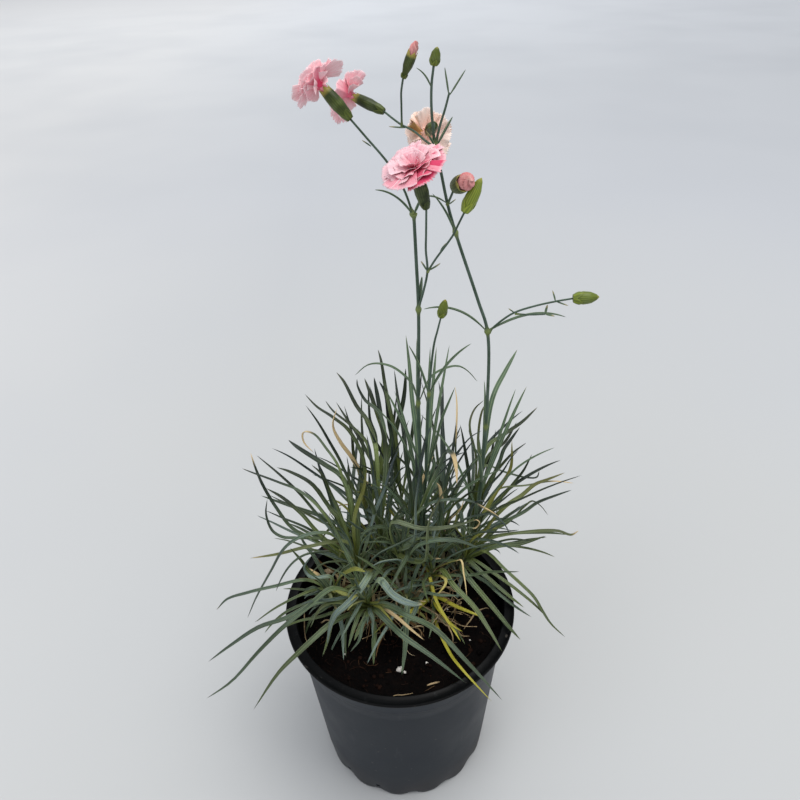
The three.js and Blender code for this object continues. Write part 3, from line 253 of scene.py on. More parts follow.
# The width and the height of the picture in pixels.
IMAGE_SIZE = 800
# name, place and target in metres, size, power, colour
LIGHTS = [
    ("key", (0.6, -0.1, 2.6), (0, 0, 0.25), 1.5, 38, (1.0, 0.98, 0.95)),
    ("fill", (-1.9, -1.3, 1.9), (0, 0, 0.25), 1.8, 16, (0.97, 0.98, 1.0)),
    ("backdrop", (-1.0, 4.6, 2.9), (-1.0, 4.6, 0), 4.6, 60, (0.98, 0.99, 1.0)),
]
WORLD = {"colour": (0.93, 0.95, 1.0, 1), "strength": 0.66}
FLOOR_HALF_WIDTH = 14


def add_object(name, data):
    """An object that holds the data, in the scene."""
    made = bpy.data.objects.new(name, data)
    bpy.context.scene.collection.objects.link(made)
    return made


def camera_axes():
    """The camera's right, up and forward directions."""
    pitch, yaw, roll = (math.radians(CAMERA[k]) for k in ("pitch", "yaw", "roll"))
    forward = Vector((math.sin(yaw) * math.cos(pitch), math.cos(yaw) * math.cos(pitch), -math.sin(pitch)))
    level = Vector((math.cos(yaw), -math.sin(yaw), 0))
    over = level.cross(forward)
    right = math.cos(roll) * level + math.sin(roll) * over
    up = math.cos(roll) * over - math.sin(roll) * level
    return right, up, forward


def add_camera():
    right, up, forward = camera_axes()
    data = bpy.data.cameras.new("camera")
    data.lens = CAMERA["lens"]
    data.sensor_width = CAMERA["sensor"]
    camera = add_object("camera", data)
    turn = Matrix((right, up, -forward)).transposed().to_4x4()
    camera.matrix_world = Matrix.Translation(CAMERA["at"]) @ turn
    bpy.context.scene.camera = camera


def seen_at(pixel, height):
    """The point at a height, in millimetres, that the camera sees at a pixel."""
    right, up, forward = camera_axes()
    focal = CAMERA["lens"] / CAMERA["sensor"] * IMAGE_SIZE
    half = IMAGE_SIZE / 2
    ray = forward + (pixel[0] - half) / focal * right + (half - pixel[1]) / focal * up
    start = Vector(CAMERA["at"]) / MM
    return start + ray * ((height - start.z) / ray.z)


def seen_at_depth(pixel, depth):
    """The point at a distance back from the pot's axis, in millimetres, that the camera sees at a pixel."""
    start = Vector(CAMERA["at"]) / MM
    ray = seen_at(pixel, 0) - start
    return start + ray * ((depth - start.y) / ray.y)


def add_light(name, at, target, size, power, colour):
    data = bpy.data.lights.new(name, "AREA")
    data.size = size
    data.energy = power
    data.color = colour
    light = add_object(name, data)
    light.location = at
    light.rotation_euler = (Vector(target) - Vector(at)).to_track_quat("-Z", "Y").to_euler()


def add_world():
    world = bpy.data.worlds.new("studio")
    world.use_nodes = True
    background = world.node_tree.nodes["Background"]
    background.inputs["Color"].default_value = WORLD["colour"]
    background.inputs["Strength"].default_value = WORLD["strength"]
    bpy.context.scene.world = world


# ---- Small tools ----


# The modulus and the multiplier of Park and Miller's random numbers.
MODULUS = 2147483647
MULTIPLIER = 16807


def random_source(seed):
    """Random numbers from 0 to 1, the same as the model's."""
    state = seed % MODULUS

    def draw(low=0.0, high=1.0):
        nonlocal state
        state = state * MULTIPLIER % MODULUS
        return low + (high - low) * state / MODULUS

    return draw


def spot_within(draw, reach):
    """A random x and y within a reach of the pot's axis."""
    radius, angle = reach * math.sqrt(draw()), draw(0, 2 * math.pi)
    return radius * math.cos(angle), radius * math.sin(angle)


def smooth(t):
    """A step from 0 to 1 with soft ends."""
    x = np.clip(t, 0, 1)
    return x * x * (3 - 2 * x)


def circle(sides):
    """Equal angles all the way round."""
    return np.linspace(0, 2 * np.pi, sides, endpoint=False)


def unit(v):
    v = np.asarray(v, float)
    return v / np.linalg.norm(v)


def rise_of(v):
    return math.asin(v[2] / np.linalg.norm(v))


def azimuth_of(v):
    return math.atan2(v[1], v[0])


def lerp(a, b, t):
    return np.asarray(a, float) * (1 - t) + np.asarray(b, float) * t


class Piece:
    """Collects the points, faces and painted values of one mesh."""

    def __init__(self):
        self.points, self.faces, self.values, self.count = [], [], {}, 0

    def add(self, points, faces, **values):
        points = np.asarray(points, float).reshape(-1, 3)
        for name in set(self.values) | set(values):
            if name not in self.values:
                self.values[name] = [np.zeros(self.count)] if self.count else []
            value = np.broadcast_to(np.asarray(values.get(name, 0.0), float).reshape(-1), (len(points),))
            self.values[name].append(value)
        self.points.append(points)
        self.faces.extend([[i + self.count for i in face] for face in faces])
        self.count += len(points)

    def tube(self, line, radii, sides, **values):
        """Adds a round stalk along a line, closed at both ends."""
        self.add(tube_rings(line, radii, sides), capped(len(line), sides), **values)

    def mesh(self, name):
        """A mesh of the points, in metres, and the faces."""
        mesh = bpy.data.meshes.new(name)
        mesh.from_pydata((np.concatenate(self.points) * MM).tolist(), [], self.faces)
        return mesh

    def finish(self, name, material, slot, *nodes):
        """Makes the object, which rides on the plant's one body and stands for the given nodes."""
        mesh = self.mesh(name)
        for value_name, parts in self.values.items():
            attribute = mesh.attributes.new(value_name, "FLOAT", "POINT")
            attribute.data.foreach_set("value", np.concatenate(parts).astype(np.float32))
        mesh.materials.append(material)
        mesh.polygons.foreach_set("use_smooth", [True] * len(mesh.polygons))
        mesh.update()
        made = add_object(name, mesh)
        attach(made, "root")
        if nodes:
            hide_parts(*nodes)
        return made


def grid_faces(rows, columns, closed=True):
    """Four-sided faces between neighbouring rows of points."""
    faces = []
    for r in range(rows - 1):
        for c in range(columns if closed else columns - 1):
            d = (c + 1) % columns
            faces.append([r * columns + c, r * columns + d, (r + 1) * columns + d, (r + 1) * columns + c])
    return faces


def capped(rows, columns):
    """The faces of a closed skin through rings, with a flat cap at each end."""
    first = list(range(columns))[::-1]
    last = list(range((rows - 1) * columns, rows * columns))
    return grid_faces(rows, columns) + [first, last]


def pointed(rows, columns):
    """The faces of a closed skin through rings that ends in one point."""
    tip = rows * columns
    start = (rows - 1) * columns
    fan = [[start + c, start + (c + 1) % columns, tip] for c in range(columns)]
    return grid_faces(rows, columns) + [list(range(columns))[::-1]] + fan


def curve_through(knots, count):
    """Points on a centripetal Catmull-Rom curve, at equal shares of its parameter."""
    knots = np.asarray(knots, float)
    full = np.vstack([2 * knots[0] - knots[1], knots, 2 * knots[-1] - knots[-2]])
    points = []
    for place in np.linspace(0, len(knots) - 1, count):
        k = min(int(place), len(knots) - 2)
        p0, p1, p2, p3 = full[k : k + 4]
        steps = [max(np.linalg.norm(b - a), 1e-6) ** 0.5 for a, b in ((p0, p1), (p1, p2), (p2, p3))]
        t = np.cumsum([0] + steps)
        x = t[1] + (t[2] - t[1]) * (place - k)
        a1 = ((t[1] - x) * p0 + (x - t[0]) * p1) / (t[1] - t[0])
        a2 = ((t[2] - x) * p1 + (x - t[1]) * p2) / (t[2] - t[1])
        a3 = ((t[3] - x) * p2 + (x - t[2]) * p3) / (t[3] - t[2])
        b1 = ((t[2] - x) * a1 + (x - t[0]) * a2) / (t[2] - t[0])
        b2 = ((t[3] - x) * a2 + (x - t[1]) * a3) / (t[3] - t[1])
        points.append(((t[2] - x) * b1 + (x - t[1]) * b2) / (t[2] - t[1]))
    return np.array(points)


def tube_rings(points, radii, sides):
    """Rings of points round a line, with a radius at each of its points."""
    points = np.asarray(points, float)
    ahead = np.vstack([points[1:], points[-1:]])
    behind = np.vstack([points[:1], points[:-1]])
    side = None
    angles = circle(sides)
    rings = []
    for p, radius, direction in zip(points, radii, ahead - behind):
        direction = unit(direction)
        seed = side if side is not None else np.array([1.0, 0, 0] if abs(direction[0]) < 0.9 else [0, 1.0, 0])
        side = unit(seed - direction * seed.dot(direction))
        across = np.cross(direction, side)
        rings.append(p + radius * (np.cos(angles)[:, None] * side + np.sin(angles)[:, None] * across))
    return np.array(rings)


def stand_on(base, axis):
    """A turn that carries +Z to an axis, and a shift to a base."""
    turn = UP.rotation_difference(Vector(axis).normalized()).to_matrix().to_4x4()
    return np.array(Matrix.Translation(base) @ turn)


def placed(points, matrix):
    points = np.asarray(points, float)
    return points @ matrix[:3, :3].T + matrix[:3, 3]


# ---- Paint ----


def rgb(red, green, blue):
    """A colour given as 0 to 255, as the linear values that shaders use."""
    linear = [((c / 255 + 0.055) / 1.055) ** 2.4 if c > 10 else c / 255 / 12.92 for c in (red, green, blue)]
    return (*linear, 1)


class Paint:
    """A material built from nodes. Each call adds one node and returns its output."""

    def __init__(self, name, **constants):
        self.material = bpy.data.materials.new(name)
        self.material.use_nodes = True
        self.tree = self.material.node_tree
        self.shader = self.tree.nodes["Principled BSDF"]
        for socket, value in constants.items():
            self.shader.inputs[socket.replace("_", " ")].default_value = value

    def node(self, kind, inputs=(), out=0, **settings):
        made = self.tree.nodes.new(kind)
        for key, value in settings.items():
            setattr(made, key, value)
        for key, value in dict(inputs).items():
            self.join(value, made.inputs[key])
        return made.outputs[out]

    def join(self, value, socket):
        if isinstance(value, bpy.types.NodeSocket):
            self.tree.links.new(value, socket)
        else:
            socket.default_value = value

    def value(self, name):
        """A painted value of the mesh."""
        return self.node("ShaderNodeAttribute", out="Fac", attribute_name=name)

    def values(self, *names):
        """Several painted values of the mesh."""
        return [self.value(name) for name in names]

    def place(self):
        return self.node("ShaderNodeTexCoord", out="Object")

    def vector(self, x, y, z):
        return self.node("ShaderNodeCombineXYZ", {"X": x, "Y": y, "Z": z})

    def math(self, operation, a, b=0.0):
        return self.node("ShaderNodeMath", {0: a, 1: b}, operation=operation)

    def times(self, a, b):
        """The product of two values."""
        return self.math("MULTIPLY", a, b)

    def noise(self, vector, scale, detail=3.0, roughness=0.5, distortion=0.0):
        inputs = {"Vector": vector, "Scale": scale, "Detail": detail}
        inputs |= {"Roughness": roughness, "Distortion": distortion}
        return self.node("ShaderNodeTexNoise", inputs, out="Fac")

    def ramp(self, fac, *stops):
        """A value or colour that changes along stops of (place, value or colour)."""
        output = self.node("ShaderNodeValToRGB", {"Fac": fac})
        elements = output.node.color_ramp.elements
        for i, (place, colour) in enumerate(stops):
            element = elements[i] if i < 2 else elements.new(place)
            element.position = place
            element.color = colour if hasattr(colour, "__len__") else (colour, colour, colour, 1)
        return output

    def mix(self, fac, a, b, blend="MIX"):
        made = self.tree.nodes.new("ShaderNodeMix")
        made.data_type = "RGBA"
        made.blend_type = blend
        made.clamp_factor = True
        for key, value in ((0, fac), (6, a), (7, b)):
            self.join(value, made.inputs[key])
        return made.outputs[2]

    def over(self, under, colour, fac, *stops):
        """A colour laid over another one by a share that changes along the stops of a value."""
        return self.mix(self.ramp(fac, *stops), under, colour)

    def bump(self, height, strength, distance):
        inputs = {"Height": height, "Strength": strength, "Distance": distance * MM}
        return self.node("ShaderNodeBump", inputs, out="Normal")

    def finish(self, colour, roughness=None, normal=None):
        self.join(colour, self.shader.inputs["Base Color"])
        if roughness is not None:
            self.join(roughness, self.shader.inputs["Roughness"])
        if normal is not None:
            self.join(normal, self.shader.inputs["Normal"])
        return self.material


def blade_marks(paint, colour, along, aside, share=1.0):
    """A pale rib down a blade's middle, and pale edges that are partly the blade's thin margin and partly a
    painted highlight.
    """
    middle = paint.math("ABSOLUTE", aside)
    rib = paint.times(paint.ramp(middle, (0.0, 0.55), (0.2, 0.0)), share)
    # The pale edge: partly the blade's own margin, partly a painted highlight.
    edge = paint.times(paint.ramp(middle, (0.78, 0.0), (1.0, 0.85)), share)
    colour = paint.mix(rib, colour, rgb(150, 164, 118))
    return paint.mix(edge, colour, rgb(166, 180, 140))


# The middle of the clump at the soil, in metres. Leaves are painted bluer and darker high up and away from
# it, as painted shade.
CLUMP_HEART = (0.0, 0.02, 0.16)


def leaf_paint():
    """Waxy leaf: ribs along it, a yellower base, straw where it has dried, a thin grey bloom of wax, and
    painted shade on the tips of high and outer leaves.
    """
    paint = Paint("leaf", IOR=1.42, Specular_IOR_Level=0.4)
    along, aside, tint = paint.values("along", "aside", "tint")
    patches = paint.noise(paint.place(), 48, 3)
    ribs_at = paint.vector(paint.times(aside, 5.0), paint.times(along, 1.2), paint.times(tint, 40.0))
    ribs = paint.noise(ribs_at, 3.2, 2)
    colour = paint.ramp(
        tint, (0.0, rgb(114, 130, 68)), (0.2, rgb(88, 108, 62)),
        (0.6, rgb(98, 120, 98)), (1.0, rgb(142, 164, 160)),
    )
    colour = paint.over(colour, rgb(134, 154, 132), patches, (0.42, 0.0), (0.7, 0.55))
    colour = paint.over(colour, rgb(24, 37, 28), ribs, (0.36, 0.85), (0.6, 0.0))
    height = paint.node("ShaderNodeSeparateXYZ", {"Vector": paint.place()}, out="Z")
    ends = {0: paint.place(), 1: CLUMP_HEART}
    away = paint.node("ShaderNodeVectorMath", ends, out="Value", operation="DISTANCE")
    high = paint.ramp(height, (0.175, 0.6), (0.24, 1.0))
    outer = paint.times(high, paint.ramp(away, (0.06, 0.1), (0.12, 1.0)))
    shade = paint.times(paint.ramp(along, (0.2, 0.0), (0.65, 1.0)), outer)
    colour = blade_marks(paint, colour, along, aside)
    # Painted shade: the tips of leaves high up and away from the clump's middle are darkened and made bluer.
    colour = paint.mix(shade, colour, rgb(128, 131, 143), "MULTIPLY")
    colour = paint.over(colour, rgb(138, 152, 78), along, (0.0, 0.8), (0.3, 0.0))
    straw = paint.ramp(paint.noise(ribs_at, 6.0, 3), (0.3, rgb(206, 168, 114)), (0.7, rgb(236, 220, 174)))
    yellow = paint.ramp(paint.noise(ribs_at, 4.0, 3), (0.3, rgb(138, 140, 36)), (0.7, rgb(196, 186, 78)))
    colour = paint.mix(paint.value("yellow"), colour, yellow)
    colour = paint.mix(paint.value("straw"), colour, straw)
    roughness = paint.ramp(patches, (0.3, 0.36), (0.7, 0.56))
    return paint.finish(colour, roughness, paint.bump(ribs, 0.6, 0.3))


def withered_paint():
    """Dry leaf: straw to brown, in long streaks."""
    paint = Paint("dry_leaf", IOR=1.4, Specular_IOR_Level=0.2)
    along, aside, tint = paint.values("along", "aside", "tint")
    streaks_at = paint.vector(paint.times(aside, 3.0), paint.times(along, 2.0), tint)
    streaks = paint.noise(streaks_at, 4.0, 4)
    pale = paint.mix(tint, rgb(126, 98, 62), rgb(222, 204, 164))
    colour = paint.over(pale, rgb(66, 46, 30), streaks, (0.35, 0.7), (0.65, 0.0))
    return paint.finish(colour, paint.ramp(streaks, (0.3, 0.9), (0.7, 0.65)), paint.bump(streaks, 0.6, 0.3))


def stem_paint():
    """Grey-green stem with a worn bloom of wax, and yellow-green joints."""
    paint = Paint("stem", IOR=1.42, Specular_IOR_Level=0.35)
    place = paint.place()
    wax = paint.noise(place, 90, 4)
    lines = paint.noise(paint.vector(paint.value("aside"), paint.value("along"), 0.0), 9.0, 2)
    colour = paint.over(rgb(60, 80, 62), rgb(96, 114, 102), wax, (0.35, 0.0), (0.7, 0.8))
    colour = paint.over(colour, rgb(42, 56, 44), lines, (0.4, 0.45), (0.6, 0.0))
    shade = paint.times(paint.ramp(wax, (0.3, 0.2), (0.6, 0.9)), paint.value("blade"))
    colour = paint.mix(shade, colour, rgb(78, 100, 76))
    colour = blade_marks(paint, colour, paint.value("along"), paint.value("aside"), paint.value("blade"))
    colour = paint.mix(paint.value("joint"), colour, rgb(138, 150, 74))
    colour = paint.mix(paint.value("straw"), colour, rgb(200, 176, 120))
    return paint.finish(colour, paint.ramp(wax, (0.3, 0.4), (0.7, 0.6)), paint.bump(lines, 0.4, 0.2))


def calyx_paint():
    """Olive calyx with fine long veins, a paler foot, grey wax and straw-edged teeth."""
    paint = Paint("calyx", IOR=1.42, Specular_IOR_Level=0.35)
    along, aside, tint = paint.values("along", "aside", "tint")
    veins = paint.math("SINE", paint.times(aside, 120.0))
    veins = paint.math("ADD", paint.times(veins, 0.5), 0.5)
    blotch = paint.noise(paint.place(), 130, 3)
    cloud = paint.noise(paint.place(), 60, 2)
    colour = paint.mix(tint, rgb(24, 36, 14), rgb(150, 166, 60))
    colour = paint.over(colour, rgb(98, 114, 42), cloud, (0.46, 0.0), (0.62, 0.45))
    colour = paint.over(colour, rgb(118, 132, 88), blotch, (0.5, 0.0), (0.72, 0.5))
    colour = paint.over(colour, rgb(22, 34, 16), veins, (0.3, 0.4), (0.7, 0.0))
    blotched = paint.ramp(blotch, (0.38, 0.75), (0.52, 0.0))
    dark = paint.times(blotched, paint.math("SUBTRACT", 0.7, tint))
    colour = paint.mix(dark, colour, rgb(16, 27, 12))
    colour = paint.over(colour, rgb(104, 120, 78), along, (0.0, 0.5), (0.18, 0.0))
    colour = paint.over(colour, rgb(182, 168, 84), along, (0.82, 0.0), (0.99, 0.9))
    return paint.finish(colour, paint.ramp(blotch, (0.3, 0.3), (0.7, 0.48)), paint.bump(veins, 0.25, 0.1))


def petal_paint(name, pale, deep, edge, fleck):
    """Petal: deep at the claw, pale to a lighter edge, with fine radiating veins, dark flecks and painted
    light that pales it towards the edge colour.
    """
    paint = Paint(name, IOR=1.4, Specular_IOR_Level=0.15, Sheen_Weight=0.1)
    along, aside, tint, blush, pallor = paint.values("along", "aside", "tint", "blush", "pallor")
    shift = paint.times(tint, 30.0)
    fan_at = paint.vector(paint.times(aside, 9.0), paint.times(along, 0.9), shift)
    veins = paint.noise(fan_at, 4.0, 3)
    cloud = paint.noise(paint.place(), 150, 2)
    colour = paint.over(pale, edge, cloud, (0.38, 0.0), (0.66, 0.8))
    colour = paint.mix(paint.times(blush, 0.7), colour, deep)
    # Painted light: the petal is paled towards the edge colour.
    colour = paint.mix(pallor, colour, edge)
    throat = paint.times(paint.ramp(along, (0.2, 1.0), (0.75, 0.0)), paint.math("ADD", blush, 0.4))
    colour = paint.mix(throat, colour, deep)
    colour = paint.over(colour, deep, veins, (0.4, 0.3), (0.56, 0.0))
    colour = paint.over(colour, edge, along, (0.88, 0.0), (1.0, 0.6))
    dashes_at = paint.vector(paint.times(aside, 16.0), paint.times(along, 3.0), shift)
    dashes = paint.ramp(paint.noise(dashes_at, 1.6, 1), (0.71, 0.0), (0.76, 0.8))
    fine = paint.times(dashes, paint.ramp(along, (0.3, 0.2), (0.55, 1.0)))
    colour = paint.mix(fine, colour, fleck)
    colour = paint.mix(paint.value("tan"), colour, rgb(188, 146, 92))
    return paint.finish(colour, paint.ramp(veins, (0.3, 0.75), (0.7, 0.6)), paint.bump(veins, 0.25, 0.2))


def pot_paint():
    """Dark grey moulded plastic with a fine grain, the rim and the inside painted near black as painted
    shade, scuffs, specks and dust at its foot.
    """
    paint = Paint("pot_plastic", IOR=1.5, Specular_IOR_Level=0.1)
    place = paint.place()
    grain = paint.noise(place, 900, 3)
    cloud = paint.noise(place, 22, 4)
    scuffs_at = paint.node("ShaderNodeMapping", {"Vector": place, "Scale": (1.0, 1.0, 0.12)})
    scuffs = paint.noise(scuffs_at, 160, 5, 0.7)
    specks = paint.noise(place, 210, 1)
    colour = paint.over(rgb(36, 41, 47), rgb(46, 50, 56), cloud, (0.35, 0.0), (0.7, 0.7))
    colour = paint.mix(paint.value("band"), colour, rgb(52, 58, 64))
    # Painted shade: the rim and the pot's inside are painted near black.
    colour = paint.mix(paint.value("rim"), colour, rgb(3, 4, 5))
    colour = paint.over(colour, rgb(92, 95, 96), scuffs, (0.62, 0.0), (0.78, 0.3))
    colour = paint.over(colour, rgb(96, 92, 86), specks, (0.76, 0.0), (0.8, 0.4))
    dust = paint.times(paint.value("dust"), paint.ramp(cloud, (0.3, 0.1), (0.7, 1.0)))
    colour = paint.mix(dust, colour, rgb(84, 76, 68))
    roughness = paint.ramp(cloud, (0.3, 0.34), (0.7, 0.5))
    return paint.finish(colour, roughness, paint.bump(grain, 0.2, 0.15))


def soil_paint():
    """Moist peat: near black, with brown and reddish crumbs."""
    paint = Paint("soil", IOR=1.4, Specular_IOR_Level=0.08)
    place = paint.place()
    crumbs = paint.noise(place, 420, 4, 0.7)
    cloud = paint.noise(place, 60, 3)
    colour = paint.over(rgb(4, 3, 3), rgb(20, 14, 12), crumbs, (0.45, 0.0), (0.75, 0.8))
    colour = paint.mix(paint.times(paint.value("tint"), 0.7), colour, rgb(46, 28, 20))
    colour = paint.over(colour, rgb(26, 17, 13), cloud, (0.5, 0.0), (0.72, 0.3))
    return paint.finish(colour, paint.ramp(crumbs, (0.3, 0.7), (0.7, 1.0)), paint.bump(crumbs, 0.9, 0.8))


def fibre_paint():
    """Peat fibre: reddish brown, and pale on a few threads."""
    paint = Paint("fibre", IOR=1.4, Specular_IOR_Level=0.2)
    streaks = paint.noise(paint.place(), 300, 3)
    tint = paint.value("tint")
    colour = paint.ramp(
        tint, (0.0, rgb(28, 18, 13)), (0.6, rgb(58, 35, 24)),
        (0.88, rgb(98, 70, 46)), (1.0, rgb(190, 166, 128)),
    )
    colour = paint.over(colour, rgb(34, 22, 14), streaks, (0.4, 0.6), (0.6, 0.0))
    return paint.finish(colour, paint.ramp(streaks, (0.3, 0.9), (0.7, 0.6)), paint.bump(streaks, 0.5, 0.2))


def stone_paint(name, pale, dark):
    """A matt grain, pale with darker spots."""
    paint = Paint(name, IOR=1.45, Specular_IOR_Level=0.3)
    spots = paint.noise(paint.place(), 700, 4, 0.7)
    colour = paint.over(dark, pale, spots, (0.35, 0.0), (0.65, 1.0))
    return paint.finish(colour, paint.ramp(spots, (0.3, 0.9), (0.7, 0.7)), paint.bump(spots, 0.7, 0.4))


def floor_paint():
    """Pale studio floor with painted light: paler and a little bluer away from the plant, a painted pool of
    warm light to the left, and painted blue-grey shadow patches near the plant.
    """
    paint = Paint("floor", Roughness=0.8, Specular_IOR_Level=0.15)
    place = paint.place()
    away = paint.node("ShaderNodeVectorMath", {0: place}, out="Value", operation="LENGTH")
    aside = paint.node("ShaderNodeSeparateXYZ", {"Vector": place}, out="X")
    cloud = paint.noise(place, 1.6, 2)
    # Painted light: the floor is painted paler and a little bluer the further it lies from the plant.
    colour = paint.ramp(
        paint.times(away, 0.1),
        (0.05, rgb(191, 193, 193)), (0.15, rgb(196, 199, 203)), (0.3, rgb(208, 211, 214)),
        (0.5, rgb(224, 227, 230)), (0.85, rgb(249, 250, 252)),
    )
    near = paint.ramp(paint.times(away, 0.1), (0.4, 1.0), (0.7, 0.0))
    # Painted light: a warm, paler pool on the floor to the left.
    painted_warm_light = paint.ramp(paint.times(aside, -0.5), (0.1, 0.0), (0.6, 0.6))
    colour = paint.mix(painted_warm_light, colour, rgb(230, 229, 226))
    # Painted shadow: soft blue-grey patches on the floor near the plant.
    painted_shadow_patches = paint.times(paint.ramp(cloud, (0.4, 0.0), (0.7, 0.25)), near)
    colour = paint.mix(painted_shadow_patches, colour, rgb(186, 190, 195))
    return paint.finish(colour)


# ---- Pot and soil ----


def lobe_angle(i):
    return math.radians(POT["first_lobe"] + 360 * i / POT["lobes"])


def pot_wall_radius(z):
    return POT["foot_radius"] + (POT["wall_top_radius"] - POT["foot_radius"]) * z / POT["collar_height"]


def pot_inner_radius(z):
    """The inside of the pot's wall, which opens a little more above the collar's foot."""
    if z <= POT["collar_height"]:
        return pot_wall_radius(z) - POT["wall"]
    foot = pot_wall_radius(POT["collar_height"]) - POT["wall"]
    share = (z - POT["collar_height"]) / (POT["height"] - POT["collar_height"])
    return foot + (POT["mouth_radius"] - foot) * share


def pot_profile():
    """Radius and height round the wall's section, from the underside's middle, with rounded edges."""
    height, rim, collar = POT["height"], POT["rim_radius"], POT["collar_height"]
    under = height - POT["rim_thickness"]
    outside = [(0, 0), (POT["foot_radius"] - 2, 0), (POT["foot_radius"] - 0.6, 0.5), (POT["foot_radius"], 2)]
    outside += [(pot_wall_radius(z), z) for z in np.linspace(6, collar - 0.5, 14)]
    outside += [(POT["collar_radius"] - 0.3, collar + 1), (POT["collar_radius"], collar + 2)]
    outside += [(POT["collar_radius"] + 0.4, under - 3), (POT["collar_radius"] + 1.2, under - 0.4)]
    outside += [(rim - 2.6, under), (rim - 0.5, under - 0.5), (rim, under + 0.5), (rim, height - 0.7)]
    outside += [(rim - 0.3, height - 0.1), (rim - 1.0, height), (rim - 1.7, height - 0.35)]
    outside += [(POT["mouth_radius"] + 2.6, height - 0.5), (POT["mouth_radius"] + 1.4, height - 0.1)]
    outside += [(POT["mouth_radius"] + 0.5, height), (POT["mouth_radius"] - 0.2, height - 0.5)]
    inside = [(pot_inner_radius(z), z) for z in np.linspace(height - 2, collar, 6)]
    inside += [(pot_inner_radius(z), z) for z in np.linspace(collar - 8, POT["floor"] + 2, 6)]
    inside += [(pot_inner_radius(POT["floor"]) - 1.5, POT["floor"]), (0, POT["floor"])]
    return outside + inside


POT_SIDES = 180
DRAIN_SIDES = 20
# Of every five of the foot's lobes, this many have a drain hole.
DRAINED = 2


def make_pot(material):
    """The pot's wall, turned about its axis, raised between its feet and cut."""
    angles = circle(POT_SIDES)
    piece = Piece()
    rings = [(r * np.cos(angles), r * np.sin(angles), np.full(POT_SIDES, z)) for r, z in pot_profile()[1:-1]]
    points = np.array(rings).transpose(0, 2, 1).reshape(-1, 3)
    heights = points[:, 2]
    radii = np.hypot(points[:, 0], points[:, 1])
    inside = radii < np.array([pot_inner_radius(z) + 0.3 for z in heights])
    outside = np.where(inside, 0.0, 1.0)
    # Where the painted shade goes: the rim's top and the whole inside of the pot.
    rim = np.where((heights > POT["height"] - POT["rim_thickness"] - 1) | inside, 1.0, 0.0)
    band = smooth((heights - 148) / 3) * outside
    dust = smooth(1 - heights / 45) * 0.35
    turn = np.arctan2(points[:, 1], points[:, 0]) - lobe_angle(0)
    arch = (0.5 + 0.5 * np.cos(POT["lobes"] * turn)) ** 1.5 * smooth(1 - heights / 14) * outside
    points[:, 2] += POT["arch"] * arch
    points[:, :2] *= (1 - 0.02 * arch)[:, None]
    piece.add(points, capped(len(rings), POT_SIDES), rim=rim, band=band, dust=dust)
    cut_pot(piece.finish("pot_wall", material, "pot_plastic", "pot"))


def cut_pot(pot):
    """Cuts the foot's notches and the drain holes."""
    cutter = Piece()
    box = np.array([(x, y, z) for x in (-0.5, 0.5) for y in (-0.5, 0.5) for z in (-1.0, 1.0)])
    box_faces = [[0, 1, 3, 2], [4, 6, 7, 5], [0, 4, 5, 1], [2, 3, 7, 6], [0, 2, 6, 4], [1, 5, 7, 3]]
    notch = box * np.array([POT["notch_depth"], POT["notch_width"], POT["notch_height"]])
    notch[:, 1] *= np.where(notch[:, 2] > 0, 0.7, 1.15)
    notch += np.array([POT["foot_radius"], 0, 0])
    wide, up = POT["drain_radius"], POT["drain_height"]
    drain = np.array([
        (POT["foot_radius"] + reach, wide * math.cos(a), up + wide * math.sin(a))
        for reach in (-POT["drain_reach"], POT["drain_reach"])
        for a in circle(DRAIN_SIDES)
    ])
    for i in range(POT["lobes"]):
        turn = np.array(Matrix.Rotation(lobe_angle(i), 3, "Z"))
        cutter.add(notch @ turn.T, box_faces)
        if i % 5 < DRAINED:
            cutter.add(drain @ turn.T, capped(2, DRAIN_SIDES))
    mesh = cutter.mesh("cutter")
    tool = add_object("cutter", mesh)
    for solid in (mesh, pot.data):
        shape = bmesh.new()
        shape.from_mesh(solid)
        bmesh.ops.recalc_face_normals(shape, faces=shape.faces)
        shape.to_mesh(solid)
        shape.free()
    cut = pot.modifiers.new("cut", "BOOLEAN")
    cut.operation = "DIFFERENCE"
    cut.solver = "EXACT"
    cut.object = tool
    apply_modifiers(pot)
    bpy.data.objects.remove(tool)
    pot.data.polygons.foreach_set("use_smooth", [True] * len(pot.data.polygons))
    pot.data.set_sharp_from_angle(angle=math.radians(40))


def apply_modifiers(made):
    bpy.context.view_layer.update()
    evaluated = made.evaluated_get(bpy.context.evaluated_depsgraph_get())
    mesh = bpy.data.meshes.new_from_object(evaluated)
    made.modifiers.clear()
    made.data = mesh


def soil_height(x, y):
    """Low waves that fade out at the pot's wall."""
    share = math.hypot(x, y) / POT["mouth_radius"]
    waves = math.sin(x * 0.11 + 1.3) * math.cos(y * 0.13 - 0.4) + 0.6 * math.sin(x * 0.23 - y * 0.19)
    return SOIL["level"] + SOIL["bumps"] * waves * (1 - share**4) + 3 * (1 - share**2)


def crumb_height(x, y):
    """How far crumbs of soil raise its surface at a point."""
    at = Vector((x, y, 0))
    coarse = noise.noise(at * 0.16) * 1.3
    middle = abs(noise.noise(at * 0.42 + Vector((9, 0, 0)))) * 1.8
    fine = abs(noise.noise(at * 1.1 + Vector((0, 7, 0)))) * 0.9
    return coarse + middle + fine - 0.7


def lump(radius, squash, seed, detail):
    """The points and faces of a small uneven stone or crumb about its middle."""
    shape = bmesh.new()
    bmesh.ops.create_icosphere(shape, subdivisions=detail, radius=1)
    shift = Vector((seed * 3.7, seed * 1.3, seed * 2.9))
    points = []
    for vertex in shape.verts:
        grown = 1 + 0.45 * noise.noise(vertex.co * 1.2 + shift) + 0.2 * noise.noise(vertex.co * 3 + shift)
        x, y, z = (share * radius * grown for share in vertex.co)
        points.append((x, y, z * squash))
    faces = [[v.index for v in face.verts] for face in shape.faces]
    shape.free()
    return np.array(points), faces


